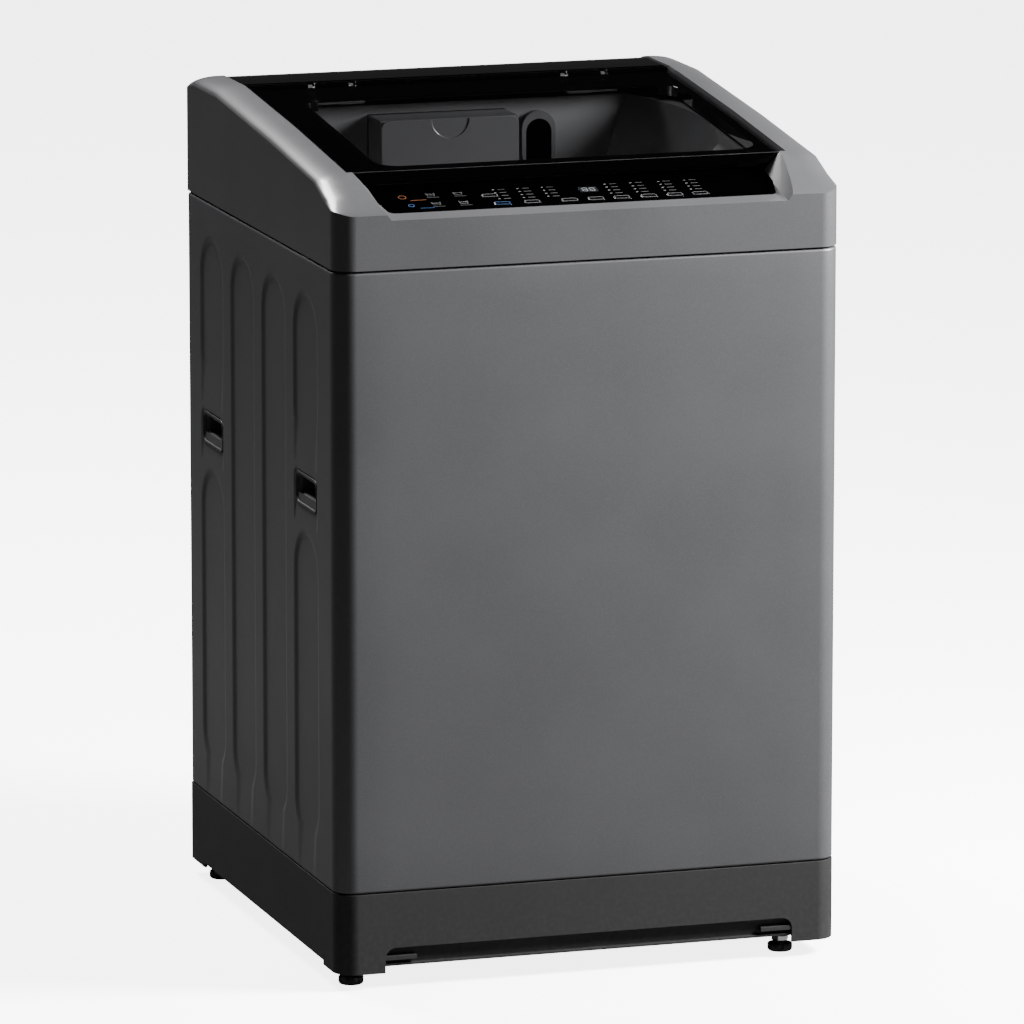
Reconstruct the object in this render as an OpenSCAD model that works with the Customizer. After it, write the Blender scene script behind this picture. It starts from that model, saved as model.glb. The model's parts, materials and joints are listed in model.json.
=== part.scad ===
// Top load washing machine: steel cabinet on a plastic skirt, sloping top cover with a glass lid,
// key strip, hanging tub, spinning basket, pulsator and belt drive.
// Frame: X across, Y from the front (-) to the back (+), Z up; the origin is on the floor, in the middle.
// Heights inside the top cover are measured up from the seam, and its depths back from the front panel.

/* [Overall] */
// Width across the side panels
body_w = 580; // [560:10:700]
// Depth from the front panel to the back of the top cover
body_d = 600; // [580:10:720]
// Height of the steel panels
panel_h = 692; // [570:2:840]
// Height of the plastic skirt
base_h = 90; // [80:2:110]
// Height of the skirt's corners above the floor
foot_gap = 18; // [16:1:24]
// Height of the top cover's crest above the seam
crest_h = 134; // [126:1:160]

/* [Cabinet] */
// Thickness of the steel sheet
sheet_t = 1; // [0.8:0.1:1.2]
// Radius of the upright front corners
corner_r = 24; // [16:1:30]
// Radius of the upright back corners
back_r = 8; // [5:1:12]
// Depth of the pressed channels in the sides
press_deep = 2; // [1:0.5:3]
// Width of a pressed channel
press_w = 91; // [70:1:96]
// Distance from one channel to the next
press_pitch = 125; // [112:1:135]
// Gap from the ends of the channels to the edges of the panel
press_margin = 36; // [28:1:50]
// Shift of the channels towards the back
press_shift = 9; // [0:1:15]
// Width of a grip's flange
grip_w = 84; // [70:1:90]
// Height of a grip's flange
grip_h = 38; // [34:1:44]
// Reach of a grip's pocket into the cabinet
grip_deep = 26; // [20:1:28]
// Depth of the grips' middle below the seam
grip_drop = 263; // [200:1:300]
// Gap from a grip's middle to the channels above and below it
grip_clear = 45; // [35:1:60]
// How far the top cover reaches past the back panel
back_overhang = 3; // [3:0.5:5]

/* [Top cover] */
// Wall of the top cover
cover_wall = 3; // [2.5:0.5:3.5]
// Width of the side rims beside the lid
rim_w = 37; // [34:1:50]
// Fall of a rim from its crest to its outer edge
rim_fall = 11; // [6:1:13]
// Distance from the front to the lid
nose_l = 84; // [80:1:90]
// Height of the rims above the seam at the front
nose_low = 60; // [56:1:64]
// Height of the rims above the seam where the lid starts
nose_high = 95; // [90:1:100]
// Height of the front wall between the rims
front_h = 54; // [50:1:55]
// Fall of the lid below the rims' crest
lid_sink = 1.5; // [1:0.5:3]
// Radius of the loading opening at its lower edge
mouth_r = 214; // [206:1:218]
// Depth of the fixed strip behind the lid
strip_l = 110; // [100:1:130]

/* [Lid] */
// Thickness of the lid with its glass
lid_t = 16; // [14:1:17]
// Thickness of the glass
glass_t = 4; // [3:0.5:5]
// Gap between the lid and the rims
lid_gap = 2; // [1.5:0.5:3]
// Radius of the hinge pins
hinge_pin_r = 3; // [2:0.5:3]
// Distance of the hinges from the middle
hinge_x = 150; // [120:1:190]

/* [Key strip] */
// Distance from the front to the key strip
strip_start = 24; // [22:1:28]
// Slope of the key strip in degrees
strip_tilt = 15.4; // [12:0.1:16]
// Half width of the key strip's front edge
strip_half = 222; // [200:1:226]
// Length of the key strip up its slope
strip_len = 74; // [70:1:76]
// Thickness of the key strip
strip_t = 3; // [2.5:0.5:4]
// Width of a key
key_w = 19; // [16:1:22]
// Height of a key
key_h = 9; // [8:1:10]
// Travel of a key
key_travel = 0.8; // [0.5:0.1:1]
// Gap around a key
key_gap = 0.35; // [0.3:0.05:0.5]

/* [Tub and basket] */
// Inner radius of the basket
basket_r = 232; // [224:1:240]
// Gap between the basket and the tub
tub_gap = 17; // [15:1:18]
// Wall of the tub
tub_wall = 3; // [2.5:0.5:4]
// Height of the tub's floor above the ground
tub_floor = 222; // [214:1:240]
// Gap from the top of the tub to the seam
tub_drop = 30; // [28:1:40]
// Height of the balance ring
balance_h = 46; // [36:1:56]
// Gap between the pulsator's rim and the basket
pulsator_gap = 44; // [34:1:60]
// Number of vanes on the pulsator
vane_count = 6; // [3:1:8]

/* [Drive] */
// Groove radius of the pulley under the tub
pulley_r = 70; // [60:1:80]
// Groove radius of the motor's pulley
motor_pulley_r = 32; // [28:1:36]
// Distance from the tub's axis to the motor's axis
motor_reach = 160; // [155:1:172]
// Radius of the shaft that turns the pulsator
wash_shaft_r = 9; // [8:0.5:10]
// Outer radius of the hollow shaft that turns the basket
spin_shaft_r = 15; // [14:0.5:17]
// Radial clearance of a turning shaft
run_gap = 0.06; // [0.03:0.01:0.09]

/* [Suspension and feet] */
// Radius of a suspension rod
rod_r = 4; // [3.5:0.5:5]
// Wire radius of a suspension spring
spring_wire_r = 1.6; // [1.2:0.1:2]
// Turns of a suspension spring
spring_turns = 7; // [5:1:9]
// Radius of a foot's pad
foot_r = 14; // [12:1:16]
// Distance of the left feet from the side
foot_inset_left = 26; // [20:1:60]
// Distance of the right feet from the side
foot_inset_right = 54; // [20:1:60]
// Distance of the feet from the front and the back
foot_inset_y = 40; // [30:1:60]

/* [Connections] */
// Radius of the threaded water inlet
inlet_r = 13.2; // [12:0.1:14]
// Radius of the drain outlet
drain_r = 15; // [12:0.5:16]
// Radius of the hole for the power cord
cord_hole_r = 4.2; // [3.5:0.1:5]

/* [Hidden] */
$fn = 64;
e = 0.01;

// Levels
base_top = foot_gap + base_h;
seam = base_top + panel_h;
back_y = body_d / 2 - back_overhang;
cab_d = body_d - back_overhang;
cab_mid = -back_overhang / 2;

// Places in the top cover
rim_x = body_w / 2 - rim_w;
hinge_d = body_d - strip_l;
hinge_r = lid_t / 2;
flat_from = hinge_d - 10;
deck_sink = lid_t + 4;
strip_edge_d = hinge_d + hinge_r + 1.5;
strip_leg = 6;
cover_back = body_d - 8;
deck_start = strip_start + strip_len * cos(strip_tilt) + 1;
mouth_front = -body_d / 2 + deck_start + 20;
mouth_back = -body_d / 2 + hinge_d - 40;
skirt_low = 5;
mouth_flare = 0.24;
lip_d = nose_l + 1;
lip_gap = 6;
strip_clear = 1.5;
lip_low = strip_rise(lip_d + 8) + lip_gap;
hinge_y = hinge_d - body_d / 2;
hinge_z = seam + crest_h - lid_sink - hinge_r;

// Places of the tub, the basket and the drive
tub_r = basket_r + sheet_t + tub_gap;
tub_top = seam - tub_drop;
ring_top = tub_top + 15;
tub_floor_t = 5;
basket_floor = tub_floor + 24;
basket_wall_low = basket_floor + 14;
balance_low = tub_top - 8 - balance_h;
pulsator_r = basket_r - pulsator_gap;
pulsator_low = basket_wall_low + 3;
pulsator_top = pulsator_low + 9;
hub_r = 34;
pulley_z = 60;
pulley_t = 18;
belt_t = 7;
belt_gap = 0.3;
clutch_low = 100;
frame_z = tub_floor - 16;
motor_x = -motor_reach;
motor_r = 56;
motor_low = pulley_z + pulley_t + 8;
motor_high = frame_z - 20;

// Suspension
rod_x = body_w / 2 - 48;
rod_y = body_d / 2 - 52;
lug_z = tub_floor + 88;
lug_t = 14;
lug_r = 17;
cup_z = 188;
cup_t = 10;
spring_r = 13;
bracket_z = seam - 14;

// Drawer
drawer_x0 = -118;
drawer_w = 162;
drawer_y0 = hinge_y - 90;
drawer_y1 = drawer_y0 + 128;
drawer_z0 = seam + 40;
drawer_h = 59;
drawer_wall = 2;
slide_gap = 0.8;

// Drain, inlet and cord
drain_x = 150;
drain_y = 168;
outlet_z = 56;
hose_l = 42;
inlet_x = 150;
inlet_z = seam + 62;
inlet_cup_r = 22;
inlet_deep = 24;
gland_x = -230;
gland_z = base_top + 90;

// Feet
foot_left_x = -body_w / 2 + foot_inset_left;
foot_right_x = body_w / 2 - foot_inset_right;
foot_front_y = -body_d / 2 + foot_inset_y;
foot_rear_y = body_d / 2 - foot_inset_y;
FEET = [[foot_left_x, foot_front_y], [foot_right_x, foot_front_y], [foot_left_x, foot_rear_y],
        [foot_right_x, foot_rear_y]];
stem_r = 5;
stem_gap = 0.35;
boss_h = 32;
pad_h = 9;
nut_h = 6;

// Keys: distance from the middle, distance up the strip
KEYS = [["key_power", -98, 33], ["key_start", -90, 11.5], ["key_program", -56, 11.5],
        ["key_level", -13, 11.5], ["key_wash", 17, 11.5], ["key_rinse", 47, 11.5], ["key_spin", 78, 11.5],
        ["key_delay", 108, 11.5], ["key_air", 137, 11.5]];
display_x = 16;
display_v = 37;
display_w = 21;
display_h = 13;
board_w = -12.5;

CORNERS = [[-1, -1], [1, -1], [-1, 1], [1, 1]];

// Points of an arc, from one angle to another
function arc(c, r, from, to, n = 8) =
    [for (i = [0:n]) let (a = from + (to - from) * i / n) [c[0] + r * cos(a), c[1] + r * sin(a)]];

// A rounded rectangle, with its own radius at the front and at the back
function plan(w, d, rf, rb) = concat(
    arc([w / 2 - rf, -d / 2 + rf], rf, -90, 0), arc([w / 2 - rb, d / 2 - rb], rb, 0, 90),
    arc([-w / 2 + rb, d / 2 - rb], rb, 90, 180), arc([-w / 2 + rf, -d / 2 + rf], rf, 180, 270));

function rounded(w, h, r) = plan(w, h, r, r);

// Height of a rim's crest above the seam, at a distance from the front
function crest(d) =
    d < nose_l ? nose_low + (nose_high - nose_low) * pow(max(d, 0) / nose_l, 0.85)
    : d < flat_from ? let (t = (d - nose_l) / (flat_from - nose_l))
        nose_high + (crest_h - nose_high) * t + 2 * sin(180 * t)
    : d < body_d - 40 ? crest_h
    : crest_h - 9 * pow((d - body_d + 40) / 40, 2);

function lid_top(d) = crest(d) - lid_sink;
function deck(d) = lid_top(d) - deck_sink;
function strip_rise(d) = front_h + 3.5 + (d - strip_start) * tan(strip_tilt);

// Steps round a rim's shoulder
SHOULDER = 10;

// Distances from the front at which the curved pieces are cut
function lid_stations(from, to) = concat([from], [for (d = [120:40:flat_from - 20]) d], [flat_from, to]);
COVER_STATIONS = concat([0, 3], [for (d = [8:7:nose_l - 6]) d], [nose_l],
                        [for (d = [nose_l + 8, nose_l + 18]) d], [for (d = [120:20:flat_from - 10]) d],
                        [flat_from, flat_from + 10, body_d - 40, body_d - 33, body_d - 26, body_d - 18,
                         body_d - 9, body_d]);

// A flat outline drawn in Y and Z, given thickness along X about the middle
module across(width) {
    rotate([90, 0, 90]) translate([0, 0, -width / 2]) linear_extrude(width) children();
}

// The same, for outlines in distance from the front and height above the seam
module cover_across(width) {
    translate([0, -body_d / 2, seam]) across(width) children();
}

// The key strip's own frame: X across, Y up its slope, Z out of its face
module on_strip() {
    translate([0, strip_start - body_d / 2, seam + strip_rise(strip_start)]) rotate([strip_tilt, 0, 0])
        children();
}

// A prism standing on the YZ plane of the left or right side, side = -1 or 1, from a depth inside outwards
module on_side(side, y, z, inner, outer) {
    x = side * body_w / 2 - side * inner;
    translate([side > 0 ? x : x - (inner - outer), y, z]) rotate([90, 0, 90])
        linear_extrude(inner - outer) children();
}

// ---------- Cabinet ----------

// One pressed channel's outline, between two heights
module channel(z0, z1, grow) {
    r = press_w / 2 + grow;
    polygon(concat(arc([0, z1 - press_w / 2], r, 0, 180, 16), arc([0, z0 + press_w / 2], r, 180, 360, 16)));
}

// Calls its children once for each channel or grip, on both sides
module side_channels(grow, inner, outer) {
    low = base_top + press_margin;
    high = seam - press_margin - 5;
    mid = seam - grip_drop;
    for (side = [-1, 1], i = [0:3]) {
        y = cab_mid + press_shift + (i - 1.5) * press_pitch;
        if (i == 1 || i == 2) on_side(side, y, 0, inner, outer) channel(low, high, grow);
        else {
            on_side(side, y, 0, inner, outer) channel(low, mid - grip_clear, grow);
            on_side(side, y, 0, inner, outer) channel(mid + grip_clear, high, grow);
        }
    }
}

module at_grips(inner, outer) {
    for (side = [-1, 1], i = [0, 3])
        on_side(side, cab_mid + press_shift + (i - 1.5) * press_pitch, seam - grip_drop, inner, outer)
            children();
}

module cabinet_shell() {
    color("dimgray") difference() {
        union() {
            translate([0, cab_mid, base_top]) linear_extrude(panel_h) difference() {
                polygon(plan(body_w, cab_d - 2, corner_r, back_r));
                polygon(plan(body_w - 2 * sheet_t, cab_d - 2 - 2 * sheet_t, corner_r - sheet_t,
                             back_r - sheet_t));
            }
            side_channels(sheet_t, sheet_t + press_deep, sheet_t / 2);
            at_grips(sheet_t + press_deep, sheet_t / 2) polygon(rounded(grip_w + 3, grip_h + 3, 12));
        }
        side_channels(0, press_deep, -1);
        at_grips(press_deep, -1) polygon(rounded(grip_w + 1, grip_h + 1, 11));
        at_grips(10, -1) polygon(rounded(grip_w - 14, grip_h - 8, 7));
        translate([-body_w / 2 + 30, 0, base_top + 24]) cube([body_w - 60, body_d, panel_h - 48]);
    }
}

module grip_cups() {
    w = grip_w - 16;
    h = grip_h - 10;
    color([0.1, 0.1, 0.11]) difference() {
        union() {
            at_grips(press_deep, 0.3) polygon(rounded(grip_w, grip_h, 10.5));
            at_grips(grip_deep, press_deep - 0.5) polygon(rounded(w, h, 6));
        }
        at_grips(grip_deep - 2, -1) polygon(rounded(w - 4, h - 4, 4));
    }
}

panel_x = body_w - 18;
service_w = 340;
service_h = 380;
service_low = base_top + 60;

module back_panel() {
    color("gray") translate([0, back_y - 1 - 2 * sheet_t, 0]) difference() {
        translate([-panel_x / 2, 0, base_top + 3]) cube([panel_x, sheet_t, panel_h - 6]);
        translate([-service_w / 2, -1, service_low]) cube([service_w, sheet_t + 2, service_h]);
        translate([gland_x, -1, gland_z]) rotate([-90, 0, 0]) cylinder(r = 10, h = sheet_t + 2);
    }
}

module service_cover() {
    color("darkgray") translate([-service_w / 2 - 12, back_y - 1 - sheet_t, service_low - 12])
        cube([service_w + 24, sheet_t, service_h + 24]);
}

module back_screws() {
    color("silver") {
        for (x = [-1, 1], i = [0:4])
            translate([x * (panel_x / 2 - 14), back_y - 1, base_top + 22 + i * (panel_h - 44) / 4])
                rotate([-90, 0, 0]) cylinder(r = 4.5, h = 2.2);
        for (x = [-1, 1], z = [service_low - 6, service_low + service_h + 6])
            translate([x * (service_w / 2 - 40), back_y - 1, z])
                rotate([-90, 0, 0]) cylinder(r = 4.5, h = 2.2);
    }
}

module cord_gland() {
    color([0.12, 0.12, 0.12]) translate([gland_x, back_y - 12, gland_z])
        rotate([-90, 0, 0]) difference() {
            union() {
                cylinder(r = 9.8, h = 14);
                translate([0, 0, 11 - sheet_t]) cylinder(r = 13, h = 3 + sheet_t);
                cylinder(r = 12, h = 11 - 2 * sheet_t);
            }
            translate([0, 0, -1]) cylinder(r = cord_hole_r, h = 20);
        }
}

// ---------- Skirt and feet ----------
kick_x = body_w / 2 - 54;
kick_top = foot_gap + 28;
kick_low = foot_gap + 7;
wall_b = 3.5;

module base_frame() {
    color([0.2, 0.2, 0.21]) difference() {
        union() {
            difference() {
                translate([0, 0, foot_gap]) linear_extrude(base_h)
                    polygon(plan(body_w, body_d, corner_r, back_r));
                translate([0, 0, foot_gap - 1]) linear_extrude(base_h + 2)
                    polygon(plan(body_w - 2 * wall_b, body_d - 2 * wall_b, corner_r - wall_b,
                                 back_r - wall_b));
                // the kick recess in the front and the raised lower edges between the feet
                translate([0, -body_d / 2, foot_gap]) rotate([90, 0, 0]) translate([0, 0, -20])
                    linear_extrude(40)
                    polygon(concat([[kick_x, -1]], arc([kick_x - 12, kick_top - foot_gap - 12], 12, 0, 90),
                                   arc([-kick_x + 12, kick_top - foot_gap - 12], 12, 90, 180),
                                   [[-kick_x, -1]]));
                translate([-body_w, -body_d / 2 + 60, foot_gap - 1])
                    cube([2 * body_w, body_d - 120, 6]);
                translate([-body_w / 2 + 70, body_d / 2 - 20, foot_gap - 1]) cube([body_w - 140, 40, 6]);
                translate([drain_x, body_d / 2 - 20, outlet_z]) rotate([-90, 0, 0]) cylinder(r = 30, h = 40);
            }
            // set-back strip behind the kick recess
            translate([-kick_x - 6, -body_d / 2 + wall_b, kick_low]) cube([2 * kick_x + 12, 8, 3]);
            translate([-kick_x - 6, -body_d / 2 + wall_b + 5, kick_low])
                cube([2 * kick_x + 12, 3, kick_top - kick_low + 6]);
            translate([-kick_x - 6, -body_d / 2 + wall_b - 1, kick_top + 3]) cube([2 * kick_x + 12, 9, 3]);
            // ledge that the steel panels stand on
            translate([0, 0, base_top - 4]) linear_extrude(4) difference() {
                polygon(plan(body_w - 2, body_d - 2, corner_r - 1, back_r - 1));
                polygon(rounded(body_w - 44, body_d - 44, 12));
            }
            // corner plates and bosses for the feet
            intersection() {
                for (c = CORNERS)
                    translate([c[0] * (body_w / 2 - 45) - 45, c[1] * (body_d / 2 - 45) - 45, foot_gap + 14])
                        cube([90, 90, 5]);
                translate([0, 0, foot_gap]) linear_extrude(base_h)
                    polygon(plan(body_w - 2, body_d - 2, corner_r - 1, back_r - 1));
            }
            for (f = FEET) translate([f[0], f[1], foot_gap]) cylinder(r = 13, h = boss_h);
        }
        for (f = FEET) translate([f[0], f[1], foot_gap - 1]) cylinder(r = stem_r + stem_gap, h = boss_h + 2);
    }
}

module bottom_guard() {
    color([0.08, 0.08, 0.08]) difference() {
        translate([0, 0, foot_gap + 10]) linear_extrude(2)
            polygon(rounded(body_w - 2 * wall_b - 26, body_d - 200, 20));
        for (i = [-2:2]) translate([i * 70 - 4, -60, foot_gap]) cube([8, 120, 20]);
    }
}

module foot(i) {
    color([0.15, 0.15, 0.15]) translate([FEET[i][0], FEET[i][1], 0]) {
        cylinder(r1 = foot_r - 1, r2 = foot_r, h = 2);
        translate([0, 0, 2]) cylinder(r = foot_r, h = pad_h - 2);
        translate([0, 0, pad_h - e]) cylinder(r = stem_r, h = foot_gap + boss_h - pad_h + 8);
    }
}

module foot_lock_nuts() {
    color("silver") for (f = FEET) translate([f[0], f[1], foot_gap - nut_h]) difference() {
        cylinder(r = 10, h = nut_h, $fn = 6);
        translate([0, 0, -1]) cylinder(r = stem_r + stem_gap, h = nut_h + 2, $fn = 48);
    }
}

// ---------- Top cover ----------

// Outline of the cover across its width, at a distance from the front; inset is 0 outside or the wall inside
function cover_section(d, inset) =
    let (x = body_w / 2 - inset, top = crest(d) - inset, fall = rim_fall * min(1, 0.25 + d / 60),
         shoulder = [for (i = [0:SHOULDER]) let (a = 90 * i / SHOULDER)
             [x - (rim_w - 6) * (1 - cos(a)), top - fall + fall * sin(a)]])
    concat([[x, -1 - inset]], shoulder, [for (i = [SHOULDER:-1:0]) [-shoulder[i][0], shoulder[i][1]]],
           [[-x, -1 - inset]]);

// A solid skinned over rings of points that all have the same number of points
module skin(rings) {
    n = len(rings[0]);
    last = len(rings) - 1;
    sides = [for (i = [0:last - 1], k = [0:n - 1])
        let (k2 = (k + 1) % n, low = i * n, high = low + n)
        each [[low + k, low + k2, high + k2], [low + k, high + k2, high + k]]];
    ends = [[for (k = [n - 1:-1:0]) k], [for (k = [0:n - 1]) last * n + k]];
    polyhedron([for (ring = rings) each ring], concat(sides, ends), convexity = 10);
}

module cover_body(inset) {
    intersection() {
        skin([for (d = COVER_STATIONS)
            [for (p = cover_section(d, inset)) [p[0], d - body_d / 2, seam + p[1]]]]);
        translate([0, 0, seam - inset]) linear_extrude(crest_h + 20)
            polygon(plan(body_w - 2 * inset, body_d - 2 * inset, corner_r - inset, back_r - inset / 2));
    }
}

// Outline of the key strip, with room for a gap around it
function strip_outline(grow) =
    let (x0 = strip_half + grow, x1 = strip_half + 14 + grow, r = 9)
    concat([[x1, strip_len + grow]], [[-x1, strip_len + grow]],
           arc([-x0 + r - 1, r - grow], r, 180, 270, 5), arc([x0 - r + 1, r - grow], r, 270, 360, 5));

// The hollows in the top of the cover: grow thickens them for the inside of the shell
module cover_recesses(grow) {
    high = crest_h + 60;
    end_d = deck_start + grow;
    hull() {
        cover_across(2 * (strip_half + 5 + grow))
            polygon([[-5, front_h - 1 - grow], [strip_start, strip_rise(strip_start) - grow],
                     [end_d, strip_rise(end_d) - grow], [end_d, strip_rise(end_d) + 1], [-5, front_h + 1]]);
        cover_across(2 * (rim_x - 2 + grow))
            polygon([[-5, front_h + 30], [end_d, strip_rise(end_d) + 26], [end_d, high], [-5, high]]);
    }
    on_strip() translate([0, 0, -strip_t - grow]) linear_extrude(strip_t + grow + 1)
        polygon(strip_outline(0.4 + grow));
    cover_across(2 * (rim_x + grow))
        polygon(concat([for (d = lid_stations(nose_l + 12 - grow, cover_back + grow)) [d, deck(d) - grow]],
                       [[cover_back + grow, high], [nose_l - grow, high],
                        [nose_l - grow, strip_rise(nose_l) - grow],
                        [nose_l + 12 - grow, deck(nose_l) - grow]]));
}

// The loading opening: a funnel that widens upwards, cut straight at the front and at the back
module mouth(grow, low) {
    intersection() {
        translate([0, 0, seam + low])
            cylinder(r1 = mouth_r + low * mouth_flare + grow, r2 = mouth_r + crest_h * mouth_flare + grow,
                     h = crest_h - low, $fn = 96);
        translate([-body_w, mouth_front - grow, seam - crest_h])
            cube([2 * body_w, mouth_back - mouth_front + 2 * grow, 3 * crest_h]);
    }
}

module top_cover() {
    color("dimgray") difference() {
        union() {
            difference() {
                cover_body(0);
                cover_recesses(0);
                difference() {
                    cover_body(cover_wall);
                    cover_recesses(cover_wall);
                }
            }
            // funnel below the opening
            intersection() {
                mouth(cover_wall, skirt_low);
                cover_across(body_w)
                    polygon(concat([for (d = lid_stations(nose_l + 4, cover_back)) [d, deck(d) - 1]],
                                   [[cover_back, 0], [nose_l + 4, 0]]));
            }
        }
        mouth(0, -5);
        on_strip() translate([0, 0, -30]) linear_extrude(40)
            polygon(rounded_at(-strip_half + 8, strip_half - 8, 4, strip_len - 12, 4));
        translate([drawer_x0 - 0.6, drawer_y0 - 5, drawer_z0 - 0.6])
            cube([drawer_w + 1.2, drawer_y1 - drawer_y0 + 5, drawer_h + 1.2]);
        translate([inlet_x, body_d / 2 - 12, inlet_z]) rotate([-90, 0, 0])
            cylinder(r = inlet_cup_r + 3, h = 20);
    }
}

function rounded_at(x0, x1, y0, y1, r) =
    [for (p = rounded(x1 - x0, y1 - y0, r)) [p[0] + (x0 + x1) / 2, p[1] + (y0 + y1) / 2]];

module rear_strip() {
    width = 2 * (rim_x - lid_gap / 2);
    color([0.03, 0.03, 0.03]) {
        cover_across(width) polygon([
            [strip_edge_d, lid_top(strip_edge_d)], [body_d - 40, lid_top(body_d - 40)],
            [body_d - 27, lid_top(body_d - 27)], [cover_back - 1, lid_top(cover_back - 1)],
            [cover_back - 1, lid_top(cover_back - 1) - 4], [strip_edge_d, lid_top(strip_edge_d) - 4]]);
        for (d = [strip_edge_d + strip_leg, cover_back - 14])
            cover_across(width - 20) translate([d, deck(d)]) square([3, deck_sink - 3]);
    }
}

// ---------- Key strip ----------
module control_panel() {
    color([0.04, 0.04, 0.05]) on_strip() difference() {
        translate([0, 0, -strip_t]) linear_extrude(strip_t) polygon(strip_outline(0));
        for (k = KEYS) translate([k[1], k[2], -strip_t - 1]) linear_extrude(strip_t + 2)
            polygon(rounded(key_w + 2 * key_gap, key_h + 2 * key_gap, 2));
        translate([display_x, display_v, -strip_t - 1]) linear_extrude(strip_t + 2)
            polygon(rounded(display_w, display_h, 1.5));
    }
}

module display_window() {
    color([0.15, 0.16, 0.18]) on_strip() translate([display_x, display_v, -strip_t])
        linear_extrude(strip_t) polygon(rounded(display_w, display_h, 1.5));
}

module control_board() {
    color("darkgreen") on_strip() {
        translate([-strip_half + 16, 6, board_w - 1.6]) cube([2 * strip_half - 32, 48, 1.6]);
        for (k = KEYS) translate([k[1], k[2], board_w - e]) cylinder(r = 2.2, h = 3);
        translate([display_x - 9, display_v - 5.5, board_w - e]) cube([18, 11, 9]);
        for (x = [-150, -40, 60, 150]) translate([x - 8, 20, board_w - 8]) cube([16, 20, 8 - 1]);
    }
}

module key(k) {
    color([0.05, 0.05, 0.06]) on_strip() translate([k[1], k[2], 0]) {
        translate([0, 0, -strip_t]) linear_extrude(strip_t + 0.4) polygon(rounded(key_w, key_h, 1.8));
        translate([0, 0, board_w + 3 + key_travel + 0.4]) cylinder(r = 2, h = -board_w - 3 - key_travel - 2);
    }
}

// ---------- Lid ----------
lid_half = rim_x - lid_gap;
glass_start = lip_d + 2;
glass_end = hinge_d - sqrt(pow(hinge_r, 2) - pow(hinge_r - glass_t, 2)) - 0.1;
window_x0 = -rim_x + 48;
window_x1 = rim_x - 18;
window_d0 = nose_l + 36;
window_d1 = hinge_d - 72;

// Underside of the lid, clear of the key strip ahead of the deck
function lid_under(d) = max(lid_top(d) - lid_t, strip_rise(min(d, deck_start)) + strip_clear);
function lid_curve(from, to, drop) = [for (d = lid_stations(from, to)) [d, lid_top(d) - drop]];
function back_along(points) = [for (i = [len(points) - 1:-1:0]) points[i]];

module lid_glass() {
    color([0.05, 0.05, 0.06, 0.6]) cover_across(2 * lid_half - 4)
        polygon(concat(lid_curve(glass_start, glass_end, 0),
                       back_along(lid_curve(glass_start, glass_end, glass_t))));
}

module hinge_notches() {
    for (s = [-1, 1], x = [hinge_x - 24, hinge_x + 24])
        translate([s * x - 4, hinge_y - hinge_r - 1.2, hinge_z - hinge_r - 6])
            cube([8, 2 * hinge_r + 4, 2 * hinge_r + 12]);
}

module lid_frame() {
    color([0.04, 0.04, 0.04]) difference() {
        union() {
            cover_across(2 * lid_half)
                polygon(concat(lid_curve(lip_d, hinge_d, glass_t),
                               back_along([for (d = lid_stations(lip_d + 8, hinge_d)) [d, lid_under(d)]]),
                               [[lip_d + 8, lip_low], [lip_d, lip_low]]));
            translate([0, hinge_y, hinge_z]) rotate([0, 90, 0])
                cylinder(r = hinge_r, h = 2 * lid_half, center = true);
            cover_across(2 * lid_half)
                polygon([[lip_d, lid_top(lip_d)], [glass_start - 0.3, lid_top(glass_start)],
                         [glass_start - 0.3, lid_top(lip_d) - 8], [lip_d, lid_top(lip_d) - 8]]);
        }
        translate([0, -body_d / 2, seam]) linear_extrude(crest_h + 20)
            polygon(rounded_at(window_x0, window_x1, window_d0, window_d1, 26));
        hinge_notches();
        translate([0, hinge_y, hinge_z]) rotate([0, 90, 0])
            cylinder(r = hinge_pin_r + run_gap, h = 2 * hinge_x + 60, center = true);
        // hollow underside of the frame
        cover_across(2 * lid_half - 16)
            polygon([[window_d1 - 1, deck(window_d1)], [hinge_d - 14, deck(hinge_d - 14)],
                     [hinge_d - 14, lid_top(hinge_d - 14) - glass_t - 3],
                     [window_d1 - 1, lid_top(window_d1 - 1) - glass_t - 3]]);
    }
}

module lid_hinge_pins() {
    color("silver") for (s = [-1, 1]) translate([s * hinge_x, hinge_y, hinge_z]) rotate([0, 90, 0])
        cylinder(r = hinge_pin_r, h = 54, center = true);
}

bracket_reach = 30;

module hinge_brackets() {
    deck_z = seam + deck(hinge_d);
    block_z = min(deck_z, seam + deck(hinge_d + 6 - bracket_reach) + 0.4);
    color("lightgray") for (s = [-1, 1]) difference() {
        union() {
            translate([s * hinge_x - 30, hinge_y - 6 - bracket_reach, deck_z])
                cube([60, strip_edge_d + strip_leg - hinge_d + 6 + bracket_reach, 2]);
            // stop block and the spring's rod, ahead of the hinge
            translate([s * (hinge_x - 15) - 13, hinge_y - 6 - bracket_reach, block_z])
                cube([26, 12, deck_z + 8 - block_z]);
            for (x = [3, 28]) translate([s * (hinge_x + x) - 1.5, hinge_y - bracket_reach - 4, deck_z])
                cube([3, 8, 9]);
            translate([s * (hinge_x + 15.5), hinge_y - bracket_reach, deck_z + 5]) rotate([0, 90, 0])
                cylinder(r = 1.8, h = 26, center = true);
            for (x = [-24, 24]) {
                translate([s * hinge_x + x - 2, hinge_y - 5.5, deck_z]) cube([4, 11, hinge_z - deck_z]);
                translate([s * hinge_x + x, hinge_y, hinge_z]) rotate([0, 90, 0])
                    cylinder(r = 5.5, h = 4, center = true);
            }
        }
        translate([s * hinge_x, hinge_y, hinge_z]) rotate([0, 90, 0])
            cylinder(r = hinge_pin_r, h = 60, center = true);
    }
}

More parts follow.
